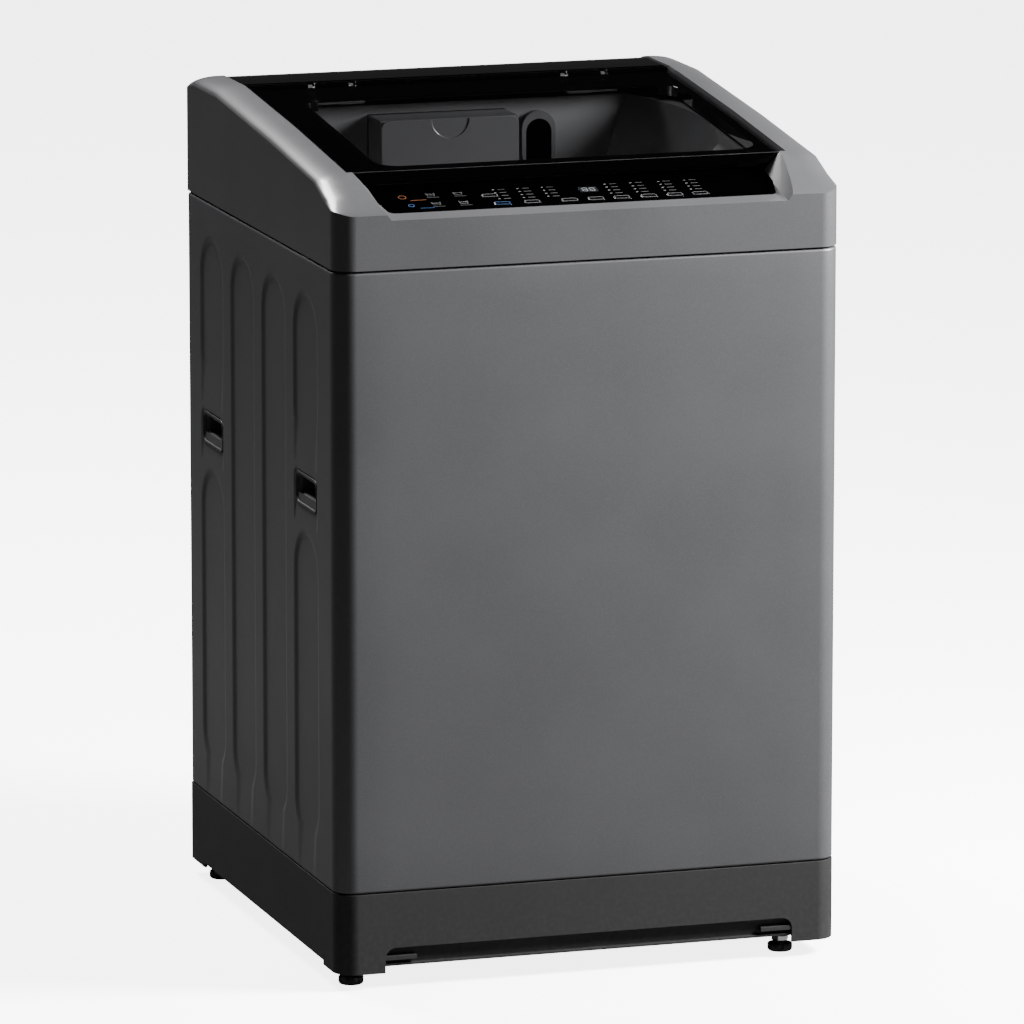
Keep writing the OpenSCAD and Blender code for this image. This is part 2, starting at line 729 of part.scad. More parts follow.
// ---------- Water and detergent ----------
module drawer_housing() {
    color("darkgray") difference() {
        translate([drawer_x0, drawer_y0, drawer_z0]) cube([drawer_w, drawer_y1 - drawer_y0, drawer_h]);
        translate([drawer_x0 + drawer_wall, drawer_y0 - 1, drawer_z0 + drawer_wall])
            cube([drawer_w - 2 * drawer_wall, drawer_y1 - drawer_y0 - drawer_wall + 1,
                  drawer_h - 2 * drawer_wall]);
    }
}

module detergent_drawer() {
    x0 = drawer_x0 + drawer_wall + slide_gap;
    w = drawer_w - 2 * (drawer_wall + slide_gap);
    z0 = drawer_z0 + drawer_wall + slide_gap;
    h = drawer_h - 2 * (drawer_wall + slide_gap);
    l = drawer_y1 - drawer_y0 - drawer_wall - 6;
    color("gray") difference() {
        union() {
            translate([x0, drawer_y0, z0]) cube([w, l, h - 6]);
            translate([drawer_x0, drawer_y0 - 4, drawer_z0]) rotate([90, 0, 0]) translate([0, 0, -3.6])
                linear_extrude(3.6) polygon(concat([[0, 0], [drawer_w, 0]],
                                                   arc([drawer_w - 9, drawer_h - 9], 9, 0, 90),
                                                   arc([9, drawer_h - 9], 9, 90, 180)));
            translate([x0, drawer_y0 - 1, z0]) cube([w, 2, h - 6]);
        }
        translate([x0 + 2, drawer_y0 + 3, z0 + 2]) cube([w * 0.62, l - 5, h]);
        translate([x0 + 4 + w * 0.62, drawer_y0 + 3, z0 + 2]) cube([w * 0.38 - 6, l - 5, h]);
        // finger recess in the front
        translate([drawer_x0 + drawer_w / 2, drawer_y0 - 8, drawer_z0 + drawer_h]) rotate([-90, 0, 0])
            cylinder(r = 22, h = 5.5);
    }
}

module water_nozzle() {
    nozzle_z = seam + 62;
    color("gray") translate([82, mouth_back, nozzle_z]) rotate([90, 0, 0]) difference() {
        linear_extrude(9) polygon(concat(arc([0, 14], 20, 0, 180, 12), arc([0, -14], 20, 180, 360, 12)));
        translate([0, 0, 2]) linear_extrude(9)
            polygon(concat(arc([0, 10], 15, 0, 180, 12), arc([0, -20], 15, 180, 360, 12)));
    }
}

module inlet_valve() {
    color([0.85, 0.85, 0.83]) translate([inlet_x, body_d / 2, inlet_z]) rotate([-90, 0, 0]) {
        difference() {
            union() {
                translate([0, 0, -cover_wall - 3]) cylinder(r = inlet_cup_r + 9, h = 3);
                translate([0, 0, -inlet_deep - 2]) cylinder(r = inlet_cup_r + 2, h = inlet_deep - cover_wall);
            }
            translate([0, 0, -inlet_deep]) cylinder(r = inlet_cup_r, h = inlet_deep + 1);
        }
        difference() {
            translate([0, 0, -inlet_deep - 1]) cylinder(r = inlet_r, h = inlet_deep - 1);
            translate([0, 0, -inlet_deep + 2]) cylinder(r = inlet_r - 3, h = inlet_deep);
        }
        translate([-18, -14, -inlet_deep - 38]) cube([36, 28, 37]);
        translate([-14, 10, -inlet_deep - 32]) cube([28, 26, 30]);
    }
}

// ---------- Suspension ----------
module at_rods() {
    for (c = CORNERS) translate([c[0] * rod_x, c[1] * rod_y, 0]) children();
}

module corner_brackets() {
    grow = 2 * sheet_t + 0.2;
    color("silver") difference() {
        intersection() {
            for (c = CORNERS) translate([c[0] * (body_w / 2 - 40), c[1] * (body_d / 2 - 40), bracket_z + 1.5])
                cube([80, 76, 3], center = true);
            translate([0, cab_mid, bracket_z - 1]) linear_extrude(8)
                polygon(plan(body_w - grow, cab_d - 2 - grow - 2 * sheet_t, corner_r - sheet_t,
                             back_r - sheet_t));
        }
        at_rods() translate([0, 0, bracket_z - 2]) cylinder(r = rod_r + 1.5, h = 10);
    }
}

module suspension_rods() {
    color("silver") at_rods() {
        translate([0, 0, cup_z - 8]) cylinder(r = rod_r, h = bracket_z + 10 - cup_z + 8);
        translate([0, 0, bracket_z + 3]) cylinder(r1 = rod_r + 5, r2 = rod_r + 2, h = 8);
    }
}

module spring_cups() {
    color([0.2, 0.2, 0.2]) at_rods() difference() {
        translate([0, 0, cup_z - cup_t]) cylinder(r = 18, h = cup_t);
        translate([0, 0, cup_z - cup_t - 1]) cylinder(r = rod_r, h = cup_t + 2);
        translate([0, 0, cup_z - 5]) difference() {
            cylinder(r = 16, h = 10);
            cylinder(r = 10, h = 10);
        }
    }
}

// A coil spring as one sweep: rings of points along a helix, joined by triangles
spring_low = cup_z - 5;
spring_high = lug_z - 0.4;
spring_sides = 6;
spring_steps = 12;

function helix_point(i, n) =
    let (a = 360 * i / spring_steps, low = spring_low + spring_wire_r,
         z = low + (spring_high - spring_low - 2 * spring_wire_r) * i / n)
    [spring_r * cos(a), spring_r * sin(a), z];

function helix_ring(i, n) =
    let (a = 360 * i / spring_steps, c = helix_point(i, n))
    [for (k = [0:spring_sides - 1]) let (b = 360 * k / spring_sides)
        [c[0] + spring_wire_r * cos(b) * cos(a), c[1] + spring_wire_r * cos(b) * sin(a),
         c[2] + spring_wire_r * sin(b)]];

module coil_spring() {
    n = spring_turns * spring_steps;
    skin([for (i = [0:n]) helix_ring(i, n)]);
}

module suspension_springs() {
    color("silver") at_rods() coil_spring();
}

// ---------- Tub ----------
module outer_tub() {
    color("whitesmoke") difference() {
        union() {
            rotate_extrude($fn = 128) polygon([
                [44, tub_floor], [tub_r + tub_wall - 8, tub_floor], [tub_r + tub_wall, tub_floor + 8],
                [tub_r + tub_wall, tub_top - 6], [tub_r + tub_wall + 6, tub_top - 6],
                [tub_r + tub_wall + 6, tub_top], [tub_r, tub_top], [tub_r, tub_floor + 10],
                [tub_r - 5, tub_floor + tub_floor_t], [60, tub_floor + tub_floor_t],
                [56, tub_floor + 16], [44, tub_floor + 16]]);
            for (c = CORNERS) translate([c[0] * rod_x, c[1] * rod_y, lug_z]) cylinder(r = lug_r, h = lug_t);
            for (c = CORNERS) rotate([0, 0, atan2(c[1] * rod_y, c[0] * rod_x)])
                translate([tub_r + 1, -15, lug_z]) cube([norm([rod_x, rod_y]) - tub_r - 12, 30, lug_t]);
        }
        at_rods() translate([0, 0, lug_z - 1]) cylinder(r = rod_r + 2.5, h = lug_t + 2);
        translate([drain_x, drain_y - 40, tub_floor - 1]) cylinder(r = 16, h = 10);
    }
}

module tub_ring() {
    color("white") rotate_extrude($fn = 128) polygon([
        [tub_r + tub_wall + 7, tub_top], [tub_r + tub_wall + 7, tub_top + 8], [tub_r - 8, ring_top],
        [basket_r - 8, ring_top], [basket_r - 8, ring_top - 9], [basket_r - 5, ring_top - 9],
        [basket_r - 5, ring_top - 3], [tub_r - 9, ring_top - 3], [tub_r, tub_top]]);
}

module mounting_frame() {
    color("silver") translate([0, 0, frame_z]) difference() {
        union() {
            translate([motor_x - motor_r - 10, -70, 0]) cube([motor_reach + motor_r + 120, 140, 3]);
            for (a = [45, 135, 225, 315]) rotate([0, 0, a]) translate([60, -18, 0]) cube([110, 36, 16]);
        }
        translate([0, 0, -1]) cylinder(r = 52, h = 30);
        translate([motor_x, 0, -1]) cylinder(r = 18, h = 30);
    }
}

module clutch_housing() {
    color("gray") difference() {
        union() {
            translate([0, 0, clutch_low]) cylinder(r = 50, h = frame_z - clutch_low);
            translate([0, 0, frame_z - 6]) cylinder(r = 62, h = 6);
            translate([0, 0, frame_z - e]) cylinder(r = 43, h = tub_floor + 16 - frame_z);
        }
        translate([0, 0, clutch_low + 5]) cylinder(r = 42, h = frame_z - clutch_low - 25);
        translate([0, 0, clutch_low - 1]) cylinder(r = 26, h = 200);
    }
}

module shaft_bearings() {
    color("silver") for (z = [frame_z - 14, tub_floor - 2]) translate([0, 0, z]) difference() {
        cylinder(r = 26, h = 12);
        translate([0, 0, -1]) cylinder(r = spin_shaft_r + run_gap, h = 14);
    }
}

module tub_seal() {
    color([0.1, 0.1, 0.1]) translate([0, 0, tub_floor + 10]) difference() {
        cylinder(r = 26, h = 6);
        translate([0, 0, -1]) cylinder(r = spin_shaft_r + run_gap, h = 8);
    }
}

module motor_housing() {
    color("darkgray") translate([motor_x, 0, 0]) difference() {
        union() {
            translate([0, 0, motor_low]) cylinder(r = motor_r, h = motor_high - motor_low);
            translate([-40, -40, motor_high]) cube([80, 80, frame_z - motor_high]);
        }
        translate([0, 0, motor_low - 1]) cylinder(r = 8 + run_gap, h = motor_high - motor_low - 8);
    }
}

// Outline around both pulleys: two arcs joined by their outer tangents
function loop_outline(grow) =
    let (lean = acos((pulley_r - motor_pulley_r) / motor_reach))
    concat(arc([0, 0], pulley_r + grow, -180 + lean, 180 - lean, 24),
           arc([motor_x, 0], motor_pulley_r + grow, 180 - lean, 180 + lean, 16));

module drive_belt() {
    color([0.08, 0.08, 0.08]) translate([0, 0, pulley_z + 5]) linear_extrude(pulley_t - 10) difference() {
        polygon(loop_outline(belt_t));
        polygon(loop_outline(belt_gap));
    }
}

module pulley(r) {
    rotate_extrude($fn = 96) polygon([
        [0, pulley_z], [r + 7, pulley_z], [r + 7, pulley_z + 2], [r, pulley_z + 4.5],
        [r, pulley_z + pulley_t - 4.5], [r + 7, pulley_z + pulley_t - 2], [r + 7, pulley_z + pulley_t],
        [0, pulley_z + pulley_t]]);
}

module drive_pulley() {
    color("silver") {
        difference() {
            pulley(pulley_r);
            for (a = [0:60:300]) rotate([0, 0, a]) translate([pulley_r * 0.58, 0, pulley_z - 1])
                cylinder(r = pulley_r * 0.17, h = pulley_t + 2);
        }
        translate([0, 0, pulley_z - 6]) cylinder(r = 12, h = 6 + e, $fn = 6);
        translate([0, 0, pulley_z + pulley_t - e]) cylinder(r = 8, h = clutch_low + 20 - pulley_z - pulley_t);
    }
}

module motor_pulley() {
    color("silver") translate([motor_x, 0, 0]) {
        pulley(motor_pulley_r);
        translate([0, 0, pulley_z + pulley_t - e]) cylinder(r = 8, h = motor_high - pulley_z - pulley_t - 20);
    }
}

module drain_valve() {
    color("gray") translate([drain_x, drain_y - 40, 0]) {
        translate([0, 0, tub_floor - 34]) cylinder(r = 24, h = 34);
        translate([0, 40, tub_floor - 34]) cylinder(r = 20, h = 22);
        translate([-14, 10, tub_floor - 34]) cube([28, 30, 20]);
    }
}

bellows_low = outlet_z + 25;
bellows_high = tub_floor - 34.4;
bellows_folds = 6;

module drain_bellows() {
    step = (bellows_high - bellows_low - 8) / bellows_folds;
    outer = concat([[19, bellows_low], [19, bellows_low + 4]],
                   [for (i = [0:bellows_folds - 1]) each
                       [[23, bellows_low + 4 + step * (i + 0.5)], [18, bellows_low + 4 + step * (i + 1)]]],
                   [[19, bellows_high - 4], [19, bellows_high]]);
    inner = [for (i = [len(outer) - 1:-1:0]) [outer[i][0] - 2, outer[i][1]]];
    color([0.3, 0.3, 0.32]) translate([drain_x, drain_y, 0]) rotate_extrude() polygon(concat(outer, inner));
}

module drain_outlet() {
    color([0.3, 0.3, 0.32]) difference() {
        union() {
            translate([drain_x, drain_y, outlet_z - 18]) cylinder(r = 19, h = 18 + 25);
            translate([drain_x, drain_y, outlet_z]) rotate([-90, 0, 0])
                cylinder(r = drain_r + 2, h = body_d / 2 - drain_y - hose_l - 2);
            translate([drain_x, drain_y, outlet_z]) rotate([-90, 0, 0])
                cylinder(r = drain_r, h = body_d / 2 - drain_y - 2);
            translate([drain_x - 24, drain_y - 24, foot_gap + 12]) cube([48, 48, outlet_z - foot_gap - 24]);
        }
        translate([drain_x, drain_y, outlet_z - 14]) cylinder(r = 16, h = 60);
        translate([drain_x, drain_y, outlet_z]) rotate([-90, 0, 0]) cylinder(r = drain_r - 2.5, h = body_d);
    }
}

// ---------- Basket and pulsator ----------
module basket_wall() {
    color("silver") translate([0, 0, basket_wall_low]) difference() {
        cylinder(r = basket_r + sheet_t, h = balance_low - basket_wall_low, $fn = 128);
        translate([0, 0, -1]) cylinder(r = basket_r, h = balance_low - basket_wall_low + 2, $fn = 128);
    }
}

module basket_base() {
    color("lightgray") rotate_extrude($fn = 128) polygon([
        [spin_shaft_r, basket_floor], [hub_r, basket_floor - 4], [70, basket_floor],
        [basket_r - 6, basket_floor],
        [basket_r + sheet_t, basket_floor + 8], [basket_r + sheet_t, basket_wall_low],
        [pulsator_r + 6, basket_wall_low], [pulsator_r + 2, basket_floor + 8], [70, basket_floor + 7],
        [spin_shaft_r, basket_floor + 7]]);
}

module balance_ring() {
    color("white") rotate_extrude($fn = 128) polygon([
        [basket_r + 3, balance_low], [basket_r + 4, balance_low + balance_h - 6],
        [basket_r, balance_low + balance_h], [basket_r - 14, balance_low + balance_h],
        [basket_r - 20, balance_low + balance_h - 6], [basket_r - 20, balance_low + 8],
        [basket_r - 14, balance_low]]);
}

module spin_shaft() {
    color("silver") difference() {
        union() {
            translate([0, 0, clutch_low + 44])
                cylinder(r = spin_shaft_r, h = basket_floor + 7 - clutch_low - 44);
            translate([0, 0, clutch_low + 12]) cylinder(r = 38, h = frame_z - clutch_low - 42);
        }
        translate([0, 0, clutch_low]) cylinder(r = wash_shaft_r + run_gap, h = 300);
        translate([0, 0, clutch_low + 10]) cylinder(r = 10, h = 30);
    }
}

channel_w = 92;
channel_y = basket_r - 20;
filter_high = balance_low - 66;
filter_low = filter_high - 180;
filter_pin_y = channel_y + 3;
filter_pin_z = filter_low + 6;
filter_pin_r = 1.5;

// Round bar along X on the filter's tilt axis
module filter_bar(r, l) {
    translate([0, filter_pin_y, filter_pin_z]) rotate([0, 90, 0]) cylinder(r = r, h = l, center = true);
}

module filter_channel() {
    color("white") intersection() {
        difference() {
            translate([-channel_w / 2, channel_y, basket_wall_low])
                cube([channel_w, 30, filter_high + 20 - basket_wall_low]);
            translate([-channel_w / 2 + 3, channel_y - 1, filter_low])
                cube([channel_w - 6, 30, filter_high - filter_low]);
            translate([-channel_w / 2 + 3, channel_y + 3, basket_wall_low - 1])
                cube([channel_w - 6, 30, filter_high + 18 - basket_wall_low]);
            filter_bar(filter_pin_r + run_gap, channel_w - 1.4);
        }
        translate([0, 0, basket_wall_low]) cylinder(r = basket_r - 0.2, h = 600, $fn = 128);
    }
}

module lint_filter() {
    w = channel_w - 8;
    h = filter_high - filter_pin_z - 1;
    color("white") {
        translate([-w / 2, channel_y - 2, filter_pin_z]) difference() {
            cube([w, 10, h]);
            translate([3, 2, 6]) cube([w - 6, 12, h - 9]);
            for (i = [0:6]) translate([8, -1, 12 + i * 22]) cube([w - 16, 5, 13]);
        }
        filter_bar(4.5, w);
        filter_bar(filter_pin_r, channel_w - 2);
    }
}

module pulsator() {
    color("white") {
        difference() {
            rotate_extrude($fn = 128) polygon([
                [wash_shaft_r, pulsator_low - 3], [26, pulsator_low - 3], [30, pulsator_low],
                [pulsator_r - 6, pulsator_low], [pulsator_r, pulsator_low + 4],
                [pulsator_r - 4, pulsator_top],
                [60, pulsator_top], [42, pulsator_top + 16], [wash_shaft_r, pulsator_top + 20]]);
            for (a = [0:30:330], r = [90:22:160]) rotate([0, 0, a + r]) translate([r, 0, pulsator_low - 2])
                cylinder(r = 3, h = 20, $fn = 16);
        }
        for (a = [0:vane_count - 1]) rotate([0, 0, a * 360 / vane_count])
            translate([48, 0, pulsator_top - 3]) rotate([90, 0, 90]) linear_extrude(pulsator_r - 60)
                polygon([[-15, 0], [-6, 18], [6, 18], [15, 0]]);
    }
}

module wash_shaft() {
    color("silver") {
        translate([0, 0, clutch_low + 42])
            cylinder(r = wash_shaft_r, h = pulsator_top + 14 - clutch_low - 42);
        translate([0, 0, pulsator_top + 20]) cylinder(r = 15, h = 6);
        translate([0, 0, pulsator_top + 13]) cylinder(r = wash_shaft_r, h = 8);
    }
}

cabinet_shell();
back_panel();
service_cover();
back_screws();
base_frame();
bottom_guard();
grip_cups();
foot_lock_nuts();
foot(0);  // foot_front_left
foot(1);  // foot_front_right
foot(2);  // foot_rear_left
foot(3);  // foot_rear_right
top_cover();
rear_strip();
control_panel();
display_window();
control_board();
for (k = KEYS) key(k);
lid_glass();
lid_frame();
lid_hinge_pins();
hinge_brackets();
drawer_housing();
detergent_drawer();
water_nozzle();
inlet_valve();
corner_brackets();
suspension_rods();
suspension_springs();
spring_cups();
drain_outlet();
drain_bellows();
cord_gland();
outer_tub();
tub_ring();
mounting_frame();
clutch_housing();
shaft_bearings();
tub_seal();
motor_housing();
drive_belt();
drain_valve();
basket_wall();
basket_base();
balance_ring();
spin_shaft();
filter_channel();
lint_filter();
pulsator();
wash_shaft();
drive_pulley();
motor_pulley();
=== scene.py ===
"""Looks of a top load washing machine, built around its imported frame.

The grey cabinet, the moulded top cover with its key strip and glass lid, the plastic skirt, the hanging tub
with its basket and drive, and a plain studio. Lengths are in metres, in the frame's own axes: +X to the
right, -Y to the front and +Z up, with the origin on the floor.
"""
import json
import logging
import math
from dataclasses import dataclass, field
from enum import Enum
from typing import Callable, Iterable, Sequence

import bmesh
import bpy
import numpy as np
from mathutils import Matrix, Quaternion, Vector

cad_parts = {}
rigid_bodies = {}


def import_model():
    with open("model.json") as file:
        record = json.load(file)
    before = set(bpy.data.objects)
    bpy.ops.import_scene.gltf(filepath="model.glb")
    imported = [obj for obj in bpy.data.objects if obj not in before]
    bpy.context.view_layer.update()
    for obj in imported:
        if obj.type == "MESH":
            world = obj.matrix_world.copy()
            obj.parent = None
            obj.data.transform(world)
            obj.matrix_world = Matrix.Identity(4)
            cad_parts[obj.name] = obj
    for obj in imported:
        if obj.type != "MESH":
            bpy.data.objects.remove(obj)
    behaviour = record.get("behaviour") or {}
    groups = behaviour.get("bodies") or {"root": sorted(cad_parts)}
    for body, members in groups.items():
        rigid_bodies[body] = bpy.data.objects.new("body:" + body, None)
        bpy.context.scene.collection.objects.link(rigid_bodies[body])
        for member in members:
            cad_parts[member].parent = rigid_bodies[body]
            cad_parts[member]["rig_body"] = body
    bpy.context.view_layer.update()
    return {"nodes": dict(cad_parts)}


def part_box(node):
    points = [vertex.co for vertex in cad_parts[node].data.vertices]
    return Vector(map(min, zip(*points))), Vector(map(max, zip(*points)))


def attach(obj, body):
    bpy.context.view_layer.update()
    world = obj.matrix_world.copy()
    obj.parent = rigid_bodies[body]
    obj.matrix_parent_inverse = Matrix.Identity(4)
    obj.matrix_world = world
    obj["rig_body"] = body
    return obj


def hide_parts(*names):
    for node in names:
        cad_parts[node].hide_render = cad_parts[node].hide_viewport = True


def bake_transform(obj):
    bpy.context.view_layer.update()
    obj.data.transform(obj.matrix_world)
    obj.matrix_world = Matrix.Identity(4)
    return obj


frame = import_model()

log = logging.getLogger("washer")
MM = 0.001
Point = Sequence[float]
Colour = tuple[float, float, float]
Source = "bpy.types.NodeSocket | float | Sequence[float] | None"


# ---------- node tree helper ----------

class Graph:
    """A node tree with short calls for the nodes that the finishes use."""

    def __init__(self, tree: bpy.types.NodeTree, fresh: bool = True) -> None:
        """Takes a tree, and empties it first when it is to be fresh."""
        self.tree = tree
        if fresh:
            tree.nodes.clear()

    def add(self, kind: str, inputs: dict | None = None, **settings: object) -> bpy.types.Node:
        """Adds a node.

        Args:
            kind: the node's type, such as ShaderNodeTexNoise.
            inputs: socket name or number to a value, or to a socket that is linked to it.
            settings: the node's own properties.

        Returns:
            The new node.
        """
        node = self.tree.nodes.new(kind)
        for key, value in settings.items():
            setattr(node, key, value)
        for key, value in (inputs or {}).items():
            self.feed(node.inputs[key], value)
        return node

    def feed(self, socket: bpy.types.NodeSocket, value: Source) -> None:
        """Links a socket to another, or sets its value."""
        if isinstance(value, bpy.types.NodeSocket):
            self.tree.links.new(value, socket)
        elif value is not None:
            if socket.type == "RGBA" and len(value) == 3:
                value = (*value, 1.0)
            socket.default_value = value

    def maths(self, operation: str, first: Source, second: Source = None) -> bpy.types.NodeSocket:
        """Returns the result of a Math node."""
        inputs = {0: first} if second is None else {0: first, 1: second}
        return self.add("ShaderNodeMath", inputs, operation=operation).outputs[0]

    def ramp(self, value: Source, low: float, high: float, start: float = 0.0,
             end: float = 1.0) -> bpy.types.NodeSocket:
        """Returns value mapped from low..high to start..end, clamped."""
        node = self.add("ShaderNodeMapRange", {0: value, 1: low, 2: high, 3: start, 4: end}, clamp=True)
        return node.outputs[0]

    def mix(self, share: Source, first: Source, second: Source) -> bpy.types.NodeSocket:
        """Returns a mix of two colours."""
        node = self.add("ShaderNodeMix", data_type="RGBA")
        for socket, value in ((node.inputs[0], share), (node.inputs[6], first), (node.inputs[7], second)):
            self.feed(socket, value)
        return node.outputs[2]

    def place(self, scale: Point = (1, 1, 1)) -> bpy.types.NodeSocket:
        """Returns object coordinates, stretched by a scale on each axis."""
        where = self.add("ShaderNodeTexCoord").outputs["Object"]
        return self.add("ShaderNodeMapping", {"Vector": where, "Scale": scale}).outputs[0]

    def noise(self, scale: float, stretch: Point = (1, 1, 1), detail: float = 3.0) -> bpy.types.NodeSocket:
        """Returns a noise value over the surface."""
        inputs = {"Vector": self.place(stretch), "Scale": scale, "Detail": detail}
        return self.add("ShaderNodeTexNoise", inputs).outputs[0]


def shader_group(name: str, inputs: dict[str, float], outputs: dict[str, str],
                 fill: Callable[[Graph, dict], dict]) -> bpy.types.NodeTree:
    """Builds a shader node group once.

    Args:
        name: the group's name.
        inputs: input name to its default value.
        outputs: output name to its socket type.
        fill: takes the graph and the inputs' sockets, and returns the outputs' sources.

    Returns:
        The group's node tree.
    """
    tree = bpy.data.node_groups.new(name, "ShaderNodeTree")
    for key, value in inputs.items():
        tree.interface.new_socket(key, in_out="INPUT", socket_type="NodeSocketFloat").default_value = value
    for key, kind in outputs.items():
        tree.interface.new_socket(key, in_out="OUTPUT", socket_type=kind)
    graph = Graph(tree)
    source = graph.add("NodeGroupInput")
    result = fill(graph, {key: source.outputs[key] for key in inputs})
    graph.add("NodeGroupOutput", result)
    return tree


def fill_grain(graph: Graph, sockets: dict) -> dict:
    """Fine moulded grain: a bumped normal and its height."""
    where = graph.add("ShaderNodeTexCoord").outputs["Object"]
    fine = graph.add("ShaderNodeTexNoise", {"Vector": where, "Scale": sockets["Scale"], "Detail": 4.0})
    bump = graph.add("ShaderNodeBump", {"Height": fine.outputs[0], "Strength": sockets["Strength"],
                                        "Distance": 0.0004})
    return {"Normal": bump.outputs[0], "Height": fine.outputs[0]}


def fill_brush(graph: Graph, sockets: dict) -> dict:
    """Brushing marks drawn out along one direction: a bumped normal and its height."""
    where = graph.add("ShaderNodeTexCoord").outputs["Object"]
    stretch = graph.add("ShaderNodeCombineXYZ", {0: sockets["Across X"], 1: sockets["Across Y"],
                                                 2: sockets["Across Z"]})
    drawn = graph.add("ShaderNodeVectorMath", {0: where, 1: stretch.outputs[0]}, operation="MULTIPLY")
    lines = graph.add("ShaderNodeTexNoise", {"Vector": drawn.outputs[0], "Scale": 1.0, "Detail": 5.0})
    bump = graph.add("ShaderNodeBump", {"Height": lines.outputs[0], "Strength": sockets["Strength"],
                                        "Distance": 0.0003})
    return {"Normal": bump.outputs[0], "Height": lines.outputs[0]}


def fill_flakes(graph: Graph, sockets: dict) -> dict:
    """Metal flakes in paint: a value that differs from flake to flake."""
    where = graph.add("ShaderNodeTexCoord").outputs["Object"]
    cells = graph.add("ShaderNodeTexVoronoi", {"Vector": where, "Scale": sockets["Scale"]})
    parts = graph.add("ShaderNodeSeparateColor", {0: cells.outputs["Color"]})
    return {"Flake": parts.outputs[0]}


def fill_grime(graph: Graph, sockets: dict) -> dict:
    """Handling marks and dust: broad smudges, and dust that thickens towards the floor."""
    where = graph.add("ShaderNodeTexCoord").outputs["Object"]
    broad = graph.add("ShaderNodeTexNoise", {"Vector": where, "Scale": sockets["Scale"], "Detail": 6.0})
    height = graph.add("ShaderNodeSeparateXYZ", {0: where}).outputs[2]
    low = graph.ramp(height, 0.16, 0.0)
    fine = graph.add("ShaderNodeTexNoise", {"Vector": where, "Scale": 180.0, "Detail": 3.0})
    dust = graph.maths("MULTIPLY", low, graph.ramp(fine.outputs[0], 0.42, 0.7))
    return {"Smudge": graph.ramp(broad.outputs[0], 0.35, 0.7), "Dust": dust}


GRAIN = shader_group("moulded_grain", {"Scale": 900.0, "Strength": 0.2},
                     {"Normal": "NodeSocketVector", "Height": "NodeSocketFloat"}, fill_grain)
BRUSH = shader_group("brushed_lines", {"Across X": 40.0, "Across Y": 40.0, "Across Z": 2000.0,
                                       "Strength": 0.15},
                     {"Normal": "NodeSocketVector", "Height": "NodeSocketFloat"}, fill_brush)
FLAKES = shader_group("paint_flakes", {"Scale": 1400.0}, {"Flake": "NodeSocketFloat"}, fill_flakes)
GRIME = shader_group("handling_marks", {"Scale": 7.0},
                     {"Smudge": "NodeSocketFloat", "Dust": "NodeSocketFloat"}, fill_grime)


# ---------- finishes ----------

class Surface(Enum):
    """The relief of a finish."""

    GRAIN = "fine moulded grain"
    BRUSHED = "lines drawn out along one direction"
    SMOOTH = "polished, with no relief"


@dataclass(frozen=True)
class Finish:
    """One surface finish and its material.

    Attributes:
        name: the material's name.
        colour: linear base colour.
        rough: roughness where the surface is clean.
        metal: metallic share.
        surface: which relief the surface has.
        relief: strength of the relief.
        grain: scale of the moulded grain.
        across: how many marks there are in a metre along each axis, when brushed.
        vary: how much the colour changes over the surface.
        smudged: how much rougher handling marks are.
        flakes: how bright the metal flakes are.
        coat: weight of a clear coat.
        dusty: how much dust lies near the floor.
        alpha: opacity.
        glow: emission strength of the base colour.
    """

    name: str
    colour: Colour
    rough: float
    metal: float = 0.0
    surface: Surface = Surface.GRAIN
    relief: float = 0.12
    grain: float = 900.0
    across: Point = (40.0, 40.0, 2000.0)
    vary: float = 0.06
    smudged: float = 0.06
    flakes: float = 0.0
    coat: float = 0.0
    dusty: float = 0.0
    alpha: float = 1.0
    glow: float = 0.0

    def material(self) -> bpy.types.Material:
        """Returns the finish's material, made on first use."""
        known = bpy.data.materials.get(self.name + "_finish")
        return known or self._build()

    def _build(self) -> bpy.types.Material:
        """Builds the material's node tree."""
        material = bpy.data.materials.new(self.name + "_finish")
        material.use_nodes = True
        graph = Graph(material.node_tree)
        shader = graph.add("ShaderNodeBsdfPrincipled", {"Metallic": self.metal, "Alpha": self.alpha,
                                                        "Coat Weight": self.coat, "Coat Roughness": 0.08})
        graph.add("ShaderNodeOutputMaterial", {"Surface": shader.outputs[0]})
        marks = graph.add("ShaderNodeGroup", node_tree=GRIME)
        dark = tuple(part * (1 - self.vary) for part in self.colour)
        light = tuple(min(1.0, part * (1 + self.vary)) for part in self.colour)
        tone = graph.mix(marks.outputs["Smudge"], dark, light)
        if self.flakes:
            flake = graph.add("ShaderNodeGroup", node_tree=FLAKES).outputs["Flake"]
            bright = tuple(min(1.0, part + self.flakes) for part in self.colour)
            tone = graph.mix(graph.ramp(flake, 0.55, 1.0, 0.0, 0.6), tone, bright)
        if self.dusty:
            share = graph.maths("MULTIPLY", marks.outputs["Dust"], self.dusty)
            tone = graph.mix(share, tone, (0.22, 0.21, 0.20))
        graph.feed(shader.inputs["Base Color"], tone)
        rough = graph.ramp(marks.outputs["Smudge"], 0.0, 1.0, self.rough, self.rough + self.smudged)
        graph.feed(shader.inputs["Roughness"], rough)
        if self.surface is Surface.GRAIN:
            relief = graph.add("ShaderNodeGroup", {"Scale": self.grain, "Strength": self.relief},
                               node_tree=GRAIN)
            graph.feed(shader.inputs["Normal"], relief.outputs["Normal"])
        elif self.surface is Surface.BRUSHED:
            inputs = dict(zip(("Across X", "Across Y", "Across Z"), self.across))
            relief = graph.add("ShaderNodeGroup", {**inputs, "Strength": self.relief}, node_tree=BRUSH)
            graph.feed(shader.inputs["Normal"], relief.outputs["Normal"])
        if self.glow:
            graph.feed(shader.inputs["Emission Color"], tone)
            shader.inputs["Emission Strength"].default_value = self.glow
        return material


